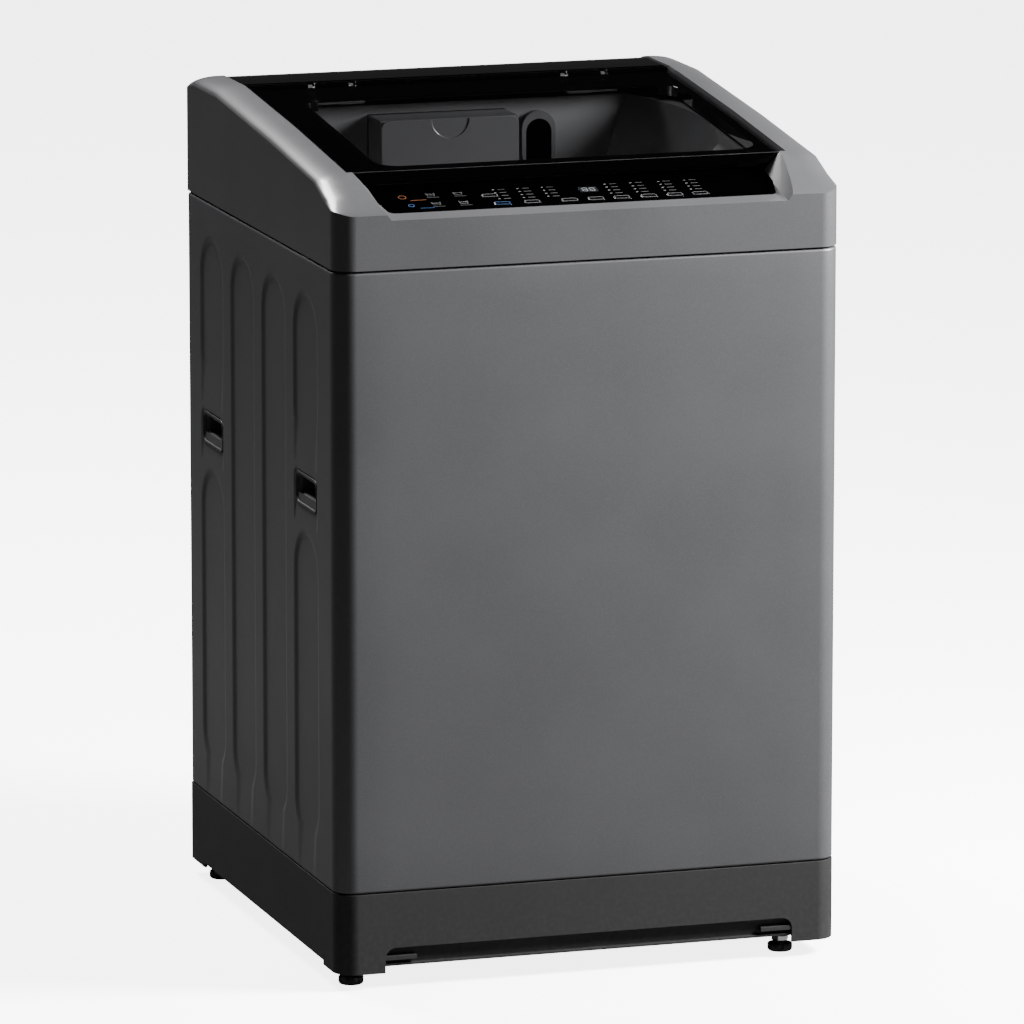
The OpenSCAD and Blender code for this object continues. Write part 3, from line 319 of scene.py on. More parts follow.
GREY_PAINT = Finish("grey_metallic_paint", (0.052, 0.053, 0.055), 0.42, metal=0.30, relief=0.03, grain=1500,
                    vary=0.03, smudged=0.04, flakes=0.02, coat=0.05)
GREY_COVER = Finish("grey_cover_plastic", (0.060, 0.061, 0.063), 0.34, metal=0.30, relief=0.03, grain=1200,
                    vary=0.03, smudged=0.05, flakes=0.02, coat=0.15)
SKIRT_PLASTIC = Finish("skirt_plastic", (0.0012, 0.0012, 0.0013), 0.62, relief=0.08, grain=1600, vary=0.05,
                       dusty=0.03)
MATT_BLACK = Finish("matt_black_plastic", (0.012, 0.012, 0.013), 0.48, relief=0.25, grain=800)
RUBBER = Finish("hard_rubber", (0.022, 0.022, 0.023), 0.72, relief=0.4, grain=500, dusty=0.5)
BELLOWS = Finish("soft_rubber", (0.045, 0.045, 0.047), 0.62, relief=0.3, grain=600)
GLOSS_BLACK = Finish("gloss_black", (0.0002, 0.0002, 0.0002), 0.03, surface=Surface.SMOOTH, smudged=0.02)
KEY_BLACK = Finish("key_black", (0.0012, 0.0012, 0.0013), 0.16, surface=Surface.SMOOTH, smudged=0.05)
DISPLAY_DARK = Finish("display_window", (0.008, 0.009, 0.010), 0.06, surface=Surface.SMOOTH, coat=0.5)
PRINT = Finish("pale_print", (0.10, 0.102, 0.105), 0.5, surface=Surface.SMOOTH, vary=0.1)
PRINT_DIM = Finish("dim_print", (0.035, 0.036, 0.037), 0.5, surface=Surface.SMOOTH, vary=0.1)
# The blue and orange inks carry a weak emission: a painted glow, with no lamp behind the print.
BLUE_PRINT_PAINTED_GLOW = Finish("blue_print_painted_glow", (0.015, 0.055, 0.16), 0.4, surface=Surface.SMOOTH, glow=0.25)
ORANGE_PRINT_PAINTED_GLOW = Finish("orange_print_painted_glow", (0.15, 0.045, 0.012), 0.4, surface=Surface.SMOOTH, glow=0.15)
GALVANISED = Finish("galvanised_sheet", (0.42, 0.44, 0.45), 0.42, metal=0.85, relief=0.10, grain=260,
                    vary=0.16, smudged=0.14)
ZINC = Finish("bright_zinc", (0.60, 0.61, 0.60), 0.28, metal=1.0, relief=0.1, grain=500, vary=0.08)
STAINLESS = Finish("stainless_steel", (0.60, 0.60, 0.60), 0.27, metal=1.0, surface=Surface.BRUSHED,
                   across=(9.0, 9.0, 1800.0), relief=0.12, vary=0.05)
SHAFT_STEEL = Finish("ground_steel", (0.55, 0.56, 0.57), 0.22, metal=1.0, surface=Surface.BRUSHED,
                     across=(30.0, 30.0, 2500.0), relief=0.1)
ALUMINIUM = Finish("cast_aluminium", (0.52, 0.52, 0.53), 0.48, metal=0.9, relief=0.35, grain=420, vary=0.1)
MOTOR_ENAMEL = Finish("motor_enamel", (0.05, 0.052, 0.056), 0.38, metal=0.4, relief=0.2, grain=400)
WHITE_PLASTIC = Finish("white_plastic", (0.62, 0.62, 0.60), 0.42, relief=0.15, grain=500, vary=0.04)
GREY_PLASTIC = Finish("light_grey_plastic", (0.30, 0.31, 0.32), 0.40, relief=0.15, grain=600, vary=0.04)
SMOKY_PLASTIC = Finish("smoky_plastic", (0.032, 0.0325, 0.0335), 0.14, relief=0.08, grain=700)
DRAIN_PLASTIC = Finish("drain_plastic", (0.36, 0.36, 0.35), 0.45, relief=0.2, grain=500)
BOARD = Finish("circuit_board", (0.012, 0.085, 0.035), 0.35, relief=0.3, grain=300, vary=0.3)
LID_GLASS = Finish("smoked_glass", (0.0004, 0.0004, 0.0004), 0.02, surface=Surface.SMOOTH, smudged=0.02,
                   alpha=0.18)
# Opaque pale grey for the lid glass's front edge faces: a painted highlight of the polished edge.
GLASS_EDGE_HIGHLIGHT = Finish("glass_edge_painted_highlight", (0.06, 0.062, 0.064), 0.25, metal=0.2, surface=Surface.SMOOTH)
DRY_WHITE = Finish("studio_floor", (0.45, 0.45, 0.45), 0.8, relief=0.02, grain=40, vary=0.01)


# ---------- mesh helpers ----------

def link(name: str, mesh: bpy.types.Mesh, finish: Finish) -> bpy.types.Object:
    """Puts a mesh in the scene as an object with one finish."""
    piece = bpy.data.objects.new(name, mesh)
    bpy.context.scene.collection.objects.link(piece)
    mesh.materials.clear()
    mesh.materials.append(finish.material())
    return piece


def smooth_by_angle(mesh: bpy.types.Mesh, degrees: float) -> None:
    """Shades a mesh smooth, with edges above an angle kept sharp."""
    limit = math.radians(degrees)
    work = bmesh.new()
    work.from_mesh(mesh)
    for edge in work.edges:
        edge.smooth = len(edge.link_faces) == 2 and edge.calc_face_angle(0.0) < limit
    for face in work.faces:
        face.smooth = True
    work.to_mesh(mesh)
    work.free()


def new_mesh(name: str, points: Iterable[Point], faces: Iterable[Sequence[int]],
             sharp: float = 40.0) -> bpy.types.Mesh:
    """Makes a mesh from points and faces, with its normals turned outwards."""
    mesh = bpy.data.meshes.new(name)
    mesh.from_pydata([tuple(map(float, p)) for p in points], [], [tuple(f) for f in faces])
    work = bmesh.new()
    work.from_mesh(mesh)
    bmesh.ops.remove_doubles(work, verts=work.verts, dist=1e-6)
    bmesh.ops.recalc_face_normals(work, faces=work.faces)
    work.to_mesh(mesh)
    work.free()
    smooth_by_angle(mesh, sharp)
    return mesh


def dress(piece: bpy.types.Object, body: str, replaced: Sequence[str] = ()) -> bpy.types.Object:
    """Rides a piece on a body, and hides the frame nodes it stands for."""
    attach(piece, body)
    if replaced:
        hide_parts(*replaced)
    log.info("%s rides on %s", piece.name, body)
    return piece


def apply_modifiers(piece: bpy.types.Object) -> None:
    """Turns a piece's modifiers into plain mesh."""
    graph = bpy.context.evaluated_depsgraph_get()
    done = bpy.data.meshes.new_from_object(piece.evaluated_get(graph))
    piece.modifiers.clear()
    old = piece.data
    piece.data = done
    bpy.data.meshes.remove(old)


def body_of(node: str) -> str:
    """Returns the body that a frame node rides on."""
    return frame["nodes"][node]["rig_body"]


def softened(node: str, finish: Finish, edge: float = 0.8, steps: int = 2,
             angle: float = 32.0) -> bpy.types.Object:
    """Makes a copy of a frame node with rounded edges, and shows it instead of the node.

    Args:
        node: the frame node.
        finish: the copy's finish.
        edge: width of the rounding in millimetres.
        steps: segments of the rounding.
        angle: edges that turn more than this many degrees are rounded.

    Returns:
        The new piece.
    """
    mesh = frame["nodes"][node].data.copy()
    work = bmesh.new()
    work.from_mesh(mesh)
    bmesh.ops.remove_doubles(work, verts=work.verts, dist=2e-6)
    bmesh.ops.dissolve_limit(work, angle_limit=math.radians(0.6), verts=work.verts, edges=work.edges)
    work.to_mesh(mesh)
    work.free()
    piece = link(node + "_body", mesh, finish)
    bevel = piece.modifiers.new("rounded edges", "BEVEL")
    bevel.width = edge * MM
    bevel.segments = steps
    bevel.limit_method = "ANGLE"
    bevel.angle_limit = math.radians(angle)
    bevel.use_clamp_overlap = True
    apply_modifiers(piece)
    smooth_by_angle(piece.data, 38.0)
    flat = piece.modifiers.new("flat faces", "WEIGHTED_NORMAL")
    flat.keep_sharp = True
    flat.weight = 90
    apply_modifiers(piece)
    return dress(piece, body_of(node), [node])


def stretched(piece: bpy.types.Object) -> None:
    """Unparents a piece from its body and bakes its world placement into its mesh."""
    piece.parent = None
    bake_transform(piece)


def arc(centre: Point, radius: float, start: float, end: float, steps: int = 8) -> list[tuple[float, float]]:
    """Returns points along an arc, with angles in degrees."""
    turns = (math.radians(start + (end - start) * i / steps) for i in range(steps + 1))
    return [(centre[0] + radius * math.cos(t), centre[1] + radius * math.sin(t)) for t in turns]


def rounded(width: float, height: float, radius: float, steps: int = 6) -> list[tuple[float, float]]:
    """Returns a rounded rectangle about the origin, anticlockwise."""
    x, y = width / 2 - radius, height / 2 - radius
    corners = (((x, -y), -90), ((x, y), 0), ((-x, y), 90), ((-x, -y), 180))
    return [p for centre, turn in corners for p in arc(centre, radius, turn, turn + 90, steps)]


def circle(radius: float, count: int) -> list[tuple[float, float]]:
    """Returns points all round a circle about the origin."""
    turns = (2 * math.pi * k / count for k in range(count))
    return [(radius * math.cos(t), radius * math.sin(t)) for t in turns]


def grid_faces(rows: int, count: int, closed: bool = True) -> list[tuple[int, ...]]:
    """Returns the faces between rows of count points each, with each row closed to a ring or left open."""
    return [(i * count + k, i * count + (k + 1) % count, (i + 1) * count + (k + 1) % count,
             (i + 1) * count + k) for i in range(rows - 1) for k in range(count if closed else count - 1)]


def loft(name: str, rings: Sequence[Sequence[Point]], finish: Finish, caps: tuple[bool, bool] = (True, True),
         sharp: float = 40.0) -> bpy.types.Object:
    """Skins closed rings that have the same number of points."""
    count = len(rings[0])
    faces = grid_faces(len(rings), count)
    if caps[0]:
        faces.append(tuple(range(count - 1, -1, -1)))
    if caps[1]:
        faces.append(tuple(range((len(rings) - 1) * count, len(rings) * count)))
    return link(name, new_mesh(name, [p for ring in rings for p in ring], faces, sharp), finish)


def tube(path: Sequence[Point], radius: float, sides: int = 8) -> tuple[list[Vector], list[tuple]]:
    """Returns the points and faces of a round tube along an open path."""
    points: list[Vector] = []
    spots = [Vector(p) for p in path]
    for i, spot in enumerate(spots):
        ahead = (spots[min(i + 1, len(spots) - 1)] - spots[max(i - 1, 0)]).normalized()
        side = ahead.cross(Vector((0.13, 0.21, 1.0))).normalized()
        up = side.cross(ahead)
        points += [spot + radius * (math.cos(2 * math.pi * k / sides) * side
                                    + math.sin(2 * math.pi * k / sides) * up) for k in range(sides)]
    faces = grid_faces(len(spots), sides)
    last = (len(spots) - 1) * sides
    faces += [tuple(range(sides - 1, -1, -1)), tuple(range(last, last + sides))]
    return points, faces


# ---------- Geometry Nodes ----------

def scatter_tree(name: str, finish: Finish) -> bpy.types.NodeTree:
    """Builds a tree that puts a copy of one object on every point of a mesh, turned by the point's normal.

    Args:
        name: the tree's name.
        finish: the finish of every copy.

    Returns:
        The tree, with the inputs Points, Copy and Size.
    """
    tree = bpy.data.node_groups.new(name, "GeometryNodeTree")
    tree.interface.new_socket("Points", in_out="INPUT", socket_type="NodeSocketGeometry")
    tree.interface.new_socket("Copy", in_out="INPUT", socket_type="NodeSocketObject")
    tree.interface.new_socket("Size", in_out="INPUT", socket_type="NodeSocketFloat").default_value = 1.0
    tree.interface.new_socket("Copies", in_out="OUTPUT", socket_type="NodeSocketGeometry")
    graph = Graph(tree)
    source = graph.add("NodeGroupInput")
    shape = graph.add("GeometryNodeObjectInfo", {"Object": source.outputs["Copy"]})
    facing = graph.add("GeometryNodeInputNamedAttribute", {"Name": "facing"}, data_type="FLOAT_VECTOR")
    turned = graph.add("FunctionNodeAlignRotationToVector", {"Vector": facing.outputs[0]}, axis="Z")
    copies = graph.add("GeometryNodeInstanceOnPoints",
                       {"Points": source.outputs["Points"], "Instance": shape.outputs["Geometry"],
                        "Rotation": turned.outputs[0], "Scale": source.outputs["Size"]})
    real = graph.add("GeometryNodeRealizeInstances", {"Geometry": copies.outputs[0]})
    dressed = graph.add("GeometryNodeSetMaterial", {"Geometry": real.outputs[0],
                                                    "Material": finish.material()})
    graph.add("NodeGroupOutput", {"Copies": dressed.outputs[0]})
    return tree


def scattered(name: str, spots: Sequence[tuple[Point, Point]], shape: bpy.types.Object, finish: Finish,
              size: float = 1.0) -> bpy.types.Object:
    """Repeats a small shape at spots with a facing direction, through Geometry Nodes.

    Args:
        name: the piece's name.
        spots: a place and the direction that the shape's Z axis turns to, for each copy.
        shape: the shape, about the origin; it is removed afterwards.
        finish: the copies' finish.
        size: scale of each copy.

    Returns:
        One plain mesh object with every copy.
    """
    mesh = bpy.data.meshes.new(name)
    mesh.from_pydata([tuple(place) for place, _ in spots], [], [])
    facing = mesh.attributes.new("facing", "FLOAT_VECTOR", "POINT")
    facing.data.foreach_set("vector", np.array([tuple(way) for _, way in spots], np.float32).ravel())
    piece = link(name, mesh, finish)
    tree = scatter_tree(name + "_tree", finish)
    modifier = piece.modifiers.new("copies", "NODES")
    modifier.node_group = tree
    sockets = {item.name: item.identifier for item in tree.interface.items_tree if item.in_out == "INPUT"}
    modifier[sockets["Copy"]] = shape
    modifier[sockets["Size"]] = size
    apply_modifiers(piece)
    bpy.data.objects.remove(shape)
    smooth_by_angle(piece.data, 40.0)
    return piece


def screw_head(radius: float = 4.4 * MM, height: float = 2.0 * MM) -> bpy.types.Object:
    """Makes a domed cross-head screw about the origin, its head towards +Z."""
    ring = 20
    levels = ((1.0, 0.0), (1.0, 0.35), (0.86, 0.72), (0.55, 1.0))
    points = [(x, y, height * z) for r, z in levels for x, y in circle(radius * r, ring)]
    faces = grid_faces(len(levels), ring)
    faces += [tuple(range(ring - 1, -1, -1)), tuple(range(3 * ring, 4 * ring))]
    head = link("screw_head", new_mesh("screw_head", points, faces), ZINC)
    arm, deep = radius * 0.5, height * 0.55
    for wide, long in ((radius * 0.16, arm), (arm, radius * 0.16)):
        block = [(sx * wide, sy * long, height * 1.2 - deep * (1 - sz)) for sx in (-1, 1) for sy in (-1, 1)
                 for sz in (0, 1)]
        sides = [(0, 1, 3, 2), (4, 6, 7, 5), (0, 4, 5, 1), (2, 3, 7, 6), (0, 2, 6, 4), (1, 5, 7, 3)]
        cutter = link("slot", new_mesh("slot", block, sides), ZINC)
        cut = head.modifiers.new("slot", "BOOLEAN")
        cut.object = cutter
        cut.solver = "EXACT"
        apply_modifiers(head)
        bpy.data.objects.remove(cutter)
    return head


# ---------- shared sizes, from the frame ----------

SHELL_LOW, SHELL_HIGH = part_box("cabinet_shell")
SKIRT_LOW, SKIRT_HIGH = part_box("base_frame")
STRIP_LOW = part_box("control_panel")[0]
SEAM = SHELL_HIGH.z
HALF_W = SHELL_HIGH.x
FRONT = SHELL_LOW.y
BACK = SHELL_HIGH.y


def smoothstep(low: float, high: float, value: np.ndarray) -> np.ndarray:
    """Returns a smooth 0 to 1 step over an array."""
    share = np.clip((value - low) / (high - low), 0, 1)
    return share * share * (3 - 2 * share)


@dataclass
class Cabinet:
    """The folded steel wrap with its pressed channels, and the sheets and screws behind it."""

    corner: float = 24 * MM
    back_corner: float = 8 * MM
    press_deep: float = 2.4 * MM
    press_edge: float = 7.0 * MM
    press_half: float = 45.5 * MM
    press_pitch: float = 125 * MM
    press_middle: float = 7.5 * MM
    press_low: float = 36 * MM
    press_high: float = 41 * MM
    grip_drop: float = 263 * MM
    grip_clear: float = 45 * MM
    grip_size: tuple[float, float] = (84 * MM, 38 * MM)
    back_flange: float = 28 * MM
    seam_gap: float = 2.2 * MM
    fine: float = 2.6 * MM
    coarse: float = 45 * MM

    def build(self) -> None:
        """Builds the cabinet's pieces."""
        self.wrap()
        self.back()
        for side in (-1, 1):
            for place in (-1.5, 1.5):
                self.grip(side, self.press_middle + place * self.press_pitch)

    def channels(self) -> list[tuple[float, float, float]]:
        """Returns each channel's middle in Y, and its lower and upper end."""
        low, high = SHELL_LOW.z + self.press_low, SEAM - self.press_high
        grip = SEAM - self.grip_drop
        found = []
        for place in (-1.5, -0.5, 0.5, 1.5):
            y = self.press_middle + place * self.press_pitch
            if abs(place) < 1:
                found.append((y, low, high))
            else:
                found += [(y, low, grip - self.grip_clear), (y, grip + self.grip_clear, high)]
        return found

    def depth(self, y: np.ndarray, z: np.ndarray) -> np.ndarray:
        """Returns how far the side panels are pressed in at each place."""
        deep = np.zeros_like(y)
        for middle, low, high in self.channels():
            nearest = np.clip(z, low + self.press_half, high - self.press_half)
            outside = np.hypot(y - middle, z - nearest) - self.press_half
            deep = np.maximum(deep, self.press_deep * smoothstep(self.press_edge * 0.3,
                                                                 -self.press_edge, outside))
        wide, tall = self.grip_size[0] / 2, self.grip_size[1] / 2
        for place in (-1.5, 1.5):
            dy = np.abs(y - self.press_middle - place * self.press_pitch) - wide + 9 * MM
            dz = np.abs(z - SEAM + self.grip_drop) - tall + 9 * MM
            outside = np.hypot(np.maximum(dy, 0), np.maximum(dz, 0)) + np.minimum(np.maximum(dy, dz), 0)
            seat = 2.6 * MM * smoothstep(11.5 * MM, 9.0 * MM, outside)
            deep = np.maximum(deep, seat)
        return deep

    def plan(self) -> list[tuple[float, float, int]]:
        """Returns the wrap's outline from above as X, Y, and 1 on the flat of a side panel."""
        half, fine = HALF_W, self.fine
        y0, y1 = FRONT + self.corner, BACK - self.back_corner
        end = half - self.back_flange - self.back_corner
        side = np.linspace(y1, y0, int((y1 - y0) / fine))[1:-1]
        path = [(-end, BACK, 0)]
        path += [(x, y, 0) for x, y in arc((-half + self.back_corner, y1), self.back_corner, 90, 180, 6)]
        path += [(-half, y, 1) for y in side]
        path += [(x, y, 0) for x, y in arc((-half + self.corner, y0), self.corner, 180, 270, 12)]
        path += [(x, FRONT, 0) for x in np.linspace(-half + self.corner, half - self.corner, 14)[1:-1]]
        path += [(x, y, 0) for x, y in arc((half - self.corner, y0), self.corner, 270, 360, 12)]
        path += [(half, y, 1) for y in side[::-1]]
        path += [(x, y, 0) for x, y in arc((half - self.back_corner, y1), self.back_corner, 0, 90, 6)]
        return path + [(end, BACK, 0)]

    def heights(self, z0: float, z1: float) -> list[float]:
        """Returns the heights of the grid's rows, closer together where the side panels are pressed."""
        edge, room = 3 * MM, 8 * MM
        grip = SEAM - self.grip_drop
        ends = [z for _, low, high in self.channels() for z in (low, high)] + [grip + 15 * MM]
        rows = [z0 + edge]
        while rows[-1] < z1 - edge - self.fine:
            z = rows[-1]
            close = abs(z - grip) < 30 * MM or any(
                low - room < z < low + self.press_half + room
                or high - self.press_half - room < z < high + room for _, low, high in self.channels())
            ahead = [end - self.press_half - room - z for end in ends if end - self.press_half - room > z]
            rows.append(z + (self.fine if close else min(self.coarse, min(ahead, default=self.coarse)
                                                         + self.fine)))
        return [z for z in rows if z < z1 - edge] + [z1 - edge]

    def wrap(self) -> None:
        """Skins the wrap over a fine grid, with soft pressed channels and rolled upper and lower edges."""
        path = self.plan()
        z0, z1 = SHELL_LOW.z + self.seam_gap * 0.4, SEAM - self.seam_gap
        rolled = ((2.2, 0.0), (0.7, 0.7), (0.1, 1.6))
        rows = [(z0, 9 * MM)] + [(z0 + up * MM, inset * MM) for inset, up in rolled]
        rows += [(z, 0.0) for z in self.heights(z0, z1)]
        rows += [(z1 - up * MM, inset * MM) for inset, up in rolled[::-1]] + [(z1, 5 * MM), (SEAM, 5 * MM)]
        across = np.array([(x, y) for x, y, _ in path])
        outward = np.gradient(across, axis=0)
        outward = np.stack((outward[:, 1], -outward[:, 0]), 1)
        outward /= np.linalg.norm(outward, axis=1)[:, None]
        flat_side = np.array([flat for _, _, flat in path])
        points = []
        for z, inset in rows:
            deep = self.depth(across[:, 1], np.full(len(path), z)) * flat_side + inset
            spots = across - outward * deep[:, None]
            points += [(x, y, z) for x, y in spots]
        faces = [face for face in grid_faces(len(rows), len(path), closed=False)
                 if not self.in_grip(*path[face[0] % len(path)][1:], rows[face[0] // len(path)][0])]
        mesh = bpy.data.meshes.new("cabinet_wrap")
        mesh.from_pydata(points, [], faces)
        smooth_by_angle(mesh, 50.0)
        dress(link("cabinet_wrap", mesh, GREY_PAINT), "cabinet", ["cabinet_shell"])

    def in_grip(self, y: float, flat: int, z: float) -> bool:
        """Tells whether a place on the wrap lies in the hole for a grip."""
        wide, tall = self.grip_size[0] / 2 - 4.5 * MM, self.grip_size[1] / 2 - 3.5 * MM
        return bool(flat) and abs(z - SEAM + self.grip_drop) < tall and any(
            abs(y - self.press_middle - place * self.press_pitch) < wide for place in (-1.5, 1.5))

    def grip(self, side: int, y: float) -> None:
        """Builds one carrying grip: a rounded rim let into the side, and a pocket that rises behind it."""
        z = SEAM - self.grip_drop
        wide, tall = self.grip_size
        steps = ((1.9, 0.0, 0.0, 10.5, 0), (0.7, 0.0, 0.0, 10.5, 0), (0.25, 0.6, 0.6, 10.0, 0),
                 (0.05, 1.6, 1.6, 9.0, 0), (0.2, 2.8, 2.8, 8.4, 0), (1.1, 3.8, 3.8, 8.0, 0),
                 (2.6, 4.6, 4.2, 7.6, 0), (3.2, 6.5, 5.5, 6.6, 0.6), (4.6, 8.6, 8.6, 5.6, 1.8),
                 (7.0, 9.6, 9.8, 4.8, 2.6), (21.0, 10.6, 10.6, 4.0, 2.8), (23.4, 12.5, 12.4, 3.0, 2.8))
        rings = []
        for deep, in_y, in_z, radius, rise in steps:
            outline = rounded(wide - 2 * in_y * MM, tall - 2 * in_z * MM, radius * MM, 7)
            rings.append([(side * (HALF_W - deep * MM), y + a, z + b + rise * MM) for a, b in outline])
        name = f"grip_{'front' if y < 0 else 'rear'}_{'left' if side < 0 else 'right'}"
        piece = loft(name, rings, MATT_BLACK, caps=(False, True), sharp=60.0)
        if side < 0:
            piece.data.flip_normals()
        self.face_out(piece, side, z)
        dress(piece, "cabinet", ["grip_cups"])

    @staticmethod
    def face_out(piece: bpy.types.Object, side: int, z: float) -> None:
        """Turns a grip's faces so that its rim faces away from the cabinet."""
        rim = max(piece.data.polygons, key=lambda face: side * face.center.x)
        if rim.normal.x * side < 0:
            piece.data.flip_normals()

    def back(self) -> None:
        """Dresses the back: the panel, the service cover with its louvres, and the screws."""
        softened("back_panel", GALVANISED, 0.25, 1)
        softened("service_cover", GALVANISED, 0.3, 1)
        cover_low, cover_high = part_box("service_cover")
        self.louvres(cover_low, cover_high)
        low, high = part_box("back_panel")
        x = high.x - 14 * MM
        rows = [low.z + 19 * MM + i * (high.z - low.z - 38 * MM) / 4 for i in range(5)]
        spots = [((s * x, high.y, z), (0, 1, 0)) for s in (-1, 1) for z in rows]
        spots += [((s * 130 * MM, cover_high.y, z), (0, 1, 0)) for s in (-1, 1)
                  for z in (cover_low.z + 6 * MM, cover_high.z - 6 * MM)]
        dress(scattered("back_panel_screws", spots, screw_head(4.4 * MM, 1.9 * MM), ZINC), "cabinet",
              ["back_screws"])
        softened("cord_gland", RUBBER, 0.6, 3)
        softened("inlet_valve", WHITE_PLASTIC, 0.6, 2)

    def louvres(self, low: Vector, high: Vector) -> None:
        """Adds two blocks of pressed louvres to the service cover."""
        half, tall, deep = 26 * MM, 2.4 * MM, 0.9 * MM
        outline = rounded(2 * half, 2 * tall, tall, 5)
        levels = ((1.0, 0.0), (0.86, 0.7), (0.6, 1.0))
        points = [(a * (1 - (1 - s) * tall / half), b * s, deep * h) for s, h in levels for a, b in outline]
        count = len(outline)
        faces = grid_faces(len(levels), count)
        faces.append(tuple(range(2 * count, 3 * count)))
        shape = link("louvre", new_mesh("louvre", points, faces), GALVANISED)
        spots = [((x * 70 * MM, high.y - 0.05 * MM, high.z - 60 * MM - i * 14 * MM), (0, 1, 0))
                 for x in (-1, 0, 1) for i in range(8)]
        spots += [((x * 70 * MM, high.y - 0.05 * MM, low.z + 60 * MM + i * 14 * MM), (0, 1, 0))
                  for x in (-1, 0, 1) for i in range(8)]
        dress(scattered("service_cover_louvres", spots, shape, GALVANISED), "cabinet")


@dataclass
class Skirt:
    """The plastic skirt with its ribbed sides, the guard under it, and the screw feet."""

    rib_pitch: float = 9 * MM
    rib_deep: float = 0.45 * MM

    def build(self) -> None:
        """Builds the skirt's pieces."""
        softened("base_frame", SKIRT_PLASTIC, 1.2, 2)
        softened("bottom_guard", MATT_BLACK, 0.4, 1)
        self.ribs()
        for name in ("front_left", "front_right", "rear_left", "rear_right"):
            self.foot(name)
        softened("foot_lock_nuts", ZINC, 0.5, 2)

    def ribs(self) -> None:
        """Adds fine upright ribs to both sides of the skirt."""
        low, high = SKIRT_LOW.z + 12 * MM, SKIRT_HIGH.z - 9 * MM
        section = ((0.0, -0.5), (0.7, -0.3), (1.0, 0.0), (0.7, 0.3), (0.0, 0.5))
        wide = 5 * MM
        rings = []
        for z, tall in ((low, 0.0), (low + 3 * MM, 1.0), (high - 3 * MM, 1.0), (high, 0.0)):
            rings += [(b * wide, z, a * tall * self.rib_deep) for a, b in section]
        count = len(section)
        faces = grid_faces(len(rings) // count, count, closed=False)
        for side in (-1, 1):
            mesh = new_mesh("rib", [(side * out, -side * a, z) for a, z, out in rings], faces, 60.0)
            shape = link("rib", mesh, SKIRT_PLASTIC)
            spots = [((side * (HALF_W - self.rib_deep), y, 0.0), (0, 0, 1))
                     for y in np.arange(SKIRT_LOW.y + 40 * MM, SKIRT_HIGH.y - 30 * MM, self.rib_pitch)]
            name = f"skirt_ribs_{'left' if side < 0 else 'right'}"
            dress(scattered(name, spots, shape, SKIRT_PLASTIC), "cabinet")

    def foot(self, name: str) -> None:
        """Builds one screw foot: a knurled pad on a threaded stem."""
        low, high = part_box("foot_" + name)
        x, y = (low.x + high.x) / 2, (low.y + high.y) / 2
        radius = (high.x - low.x) / 2
        knurls, steps = 28, 4
        rings = []
        for z, share, knurl in ((0.0, 0.88, 0.0), (0.8, 0.95, 0.0), (1.8, 0.97, 0.0), (2.4, 1.0, 1.0),
                                (7.6, 1.0, 1.0), (8.3, 0.95, 0.0), (9.0, 0.72, 0.0)):
            ring = []
            for i in range(knurls * steps):
                turn = 2 * math.pi * i / (knurls * steps)
                r = radius * share - knurl * 0.7 * MM * (0.5 - 0.5 * math.cos(knurls * turn))
                ring.append((x + r * math.cos(turn), y + r * math.sin(turn), low.z + z * MM))
            rings.append(ring)
        stem = 5 * MM
        thread = 1.25 * MM
        z = low.z + 9 * MM
        level = 0
        while z < high.z - 2 * MM:
            r = stem - (0.55 * MM if level % 2 else 0.0)
            rings.append([(x + r * math.cos(2 * math.pi * i / (knurls * steps)),
                           y + r * math.sin(2 * math.pi * i / (knurls * steps)), z)
                          for i in range(knurls * steps)])
            z += thread / 2
            level += 1
        piece = loft("screw_foot_" + name, rings, RUBBER, sharp=50.0)
        dress(piece, "levelling_" + name, ["foot_" + name])


@dataclass
class TopCover:
    """The moulded cover, the black strip behind the lid, and the parts under the lid."""

    rod_ahead: float = 30 * MM
    rod_under: float = 7 * MM

    def build(self) -> None:
        """Builds the cover's pieces."""
        softened("top_cover", GREY_COVER, 1.6, 3, angle=24.0)
        softened("rear_strip", GLOSS_BLACK, 1.2, 3)
        softened("hinge_brackets", ZINC, 0.5, 2)
        softened("lid_hinge_pins", SHAFT_STEEL, 0.5, 2)
        softened("water_nozzle", SMOKY_PLASTIC, 1.0, 3)
        softened("drawer_housing", SMOKY_PLASTIC, 0.6, 2)
        softened("detergent_drawer", SMOKY_PLASTIC, 1.0, 3)
        self.hinge_springs()

    def hinge_springs(self) -> None:
        """Winds a dark coil spring round each hinge bracket's spring rod."""
        low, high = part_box("lid_hinge_pins")
        y, z = (low.y + high.y) / 2 - self.rod_ahead, (low.z + high.z) / 2 - self.rod_under
        turns, steps, reach, radius = 8, 16, 11.5 * MM, 3.3 * MM
        for side, name in ((-1, "left"), (1, "right")):
            middle = side * (high.x - reach)
            path = [(middle - reach + 2 * reach * i / (turns * steps),
                     y + radius * math.cos(2 * math.pi * i / steps),
                     z + radius * math.sin(2 * math.pi * i / steps)) for i in range(turns * steps + 1)]
            piece = link("hinge_spring_" + name, new_mesh("hinge_spring_" + name, *tube(path, 0.8 * MM)),
                         MATT_BLACK)
            dress(piece, "cabinet")


@dataclass
class Lid:
    """The lid: a black frame under one sheet of smoked glass, with a pale grey painted highlight on the
    glass's front edge faces.
    """

    def build(self) -> None:
        """Builds the lid's pieces."""
        softened("lid_frame", GLOSS_BLACK, 1.2, 3)
        glass = softened("lid_glass", LID_GLASS, 1.0, 3)
        # The glass's front edge faces take the pale grey painted highlight.
        glass.data.materials.append(GLASS_EDGE_HIGHLIGHT.material())
        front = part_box("lid_glass")[0].y
        for face in glass.data.polygons:
            if face.normal.y < -0.55 and face.center.y < front + 6 * MM:
                face.material_index = 1


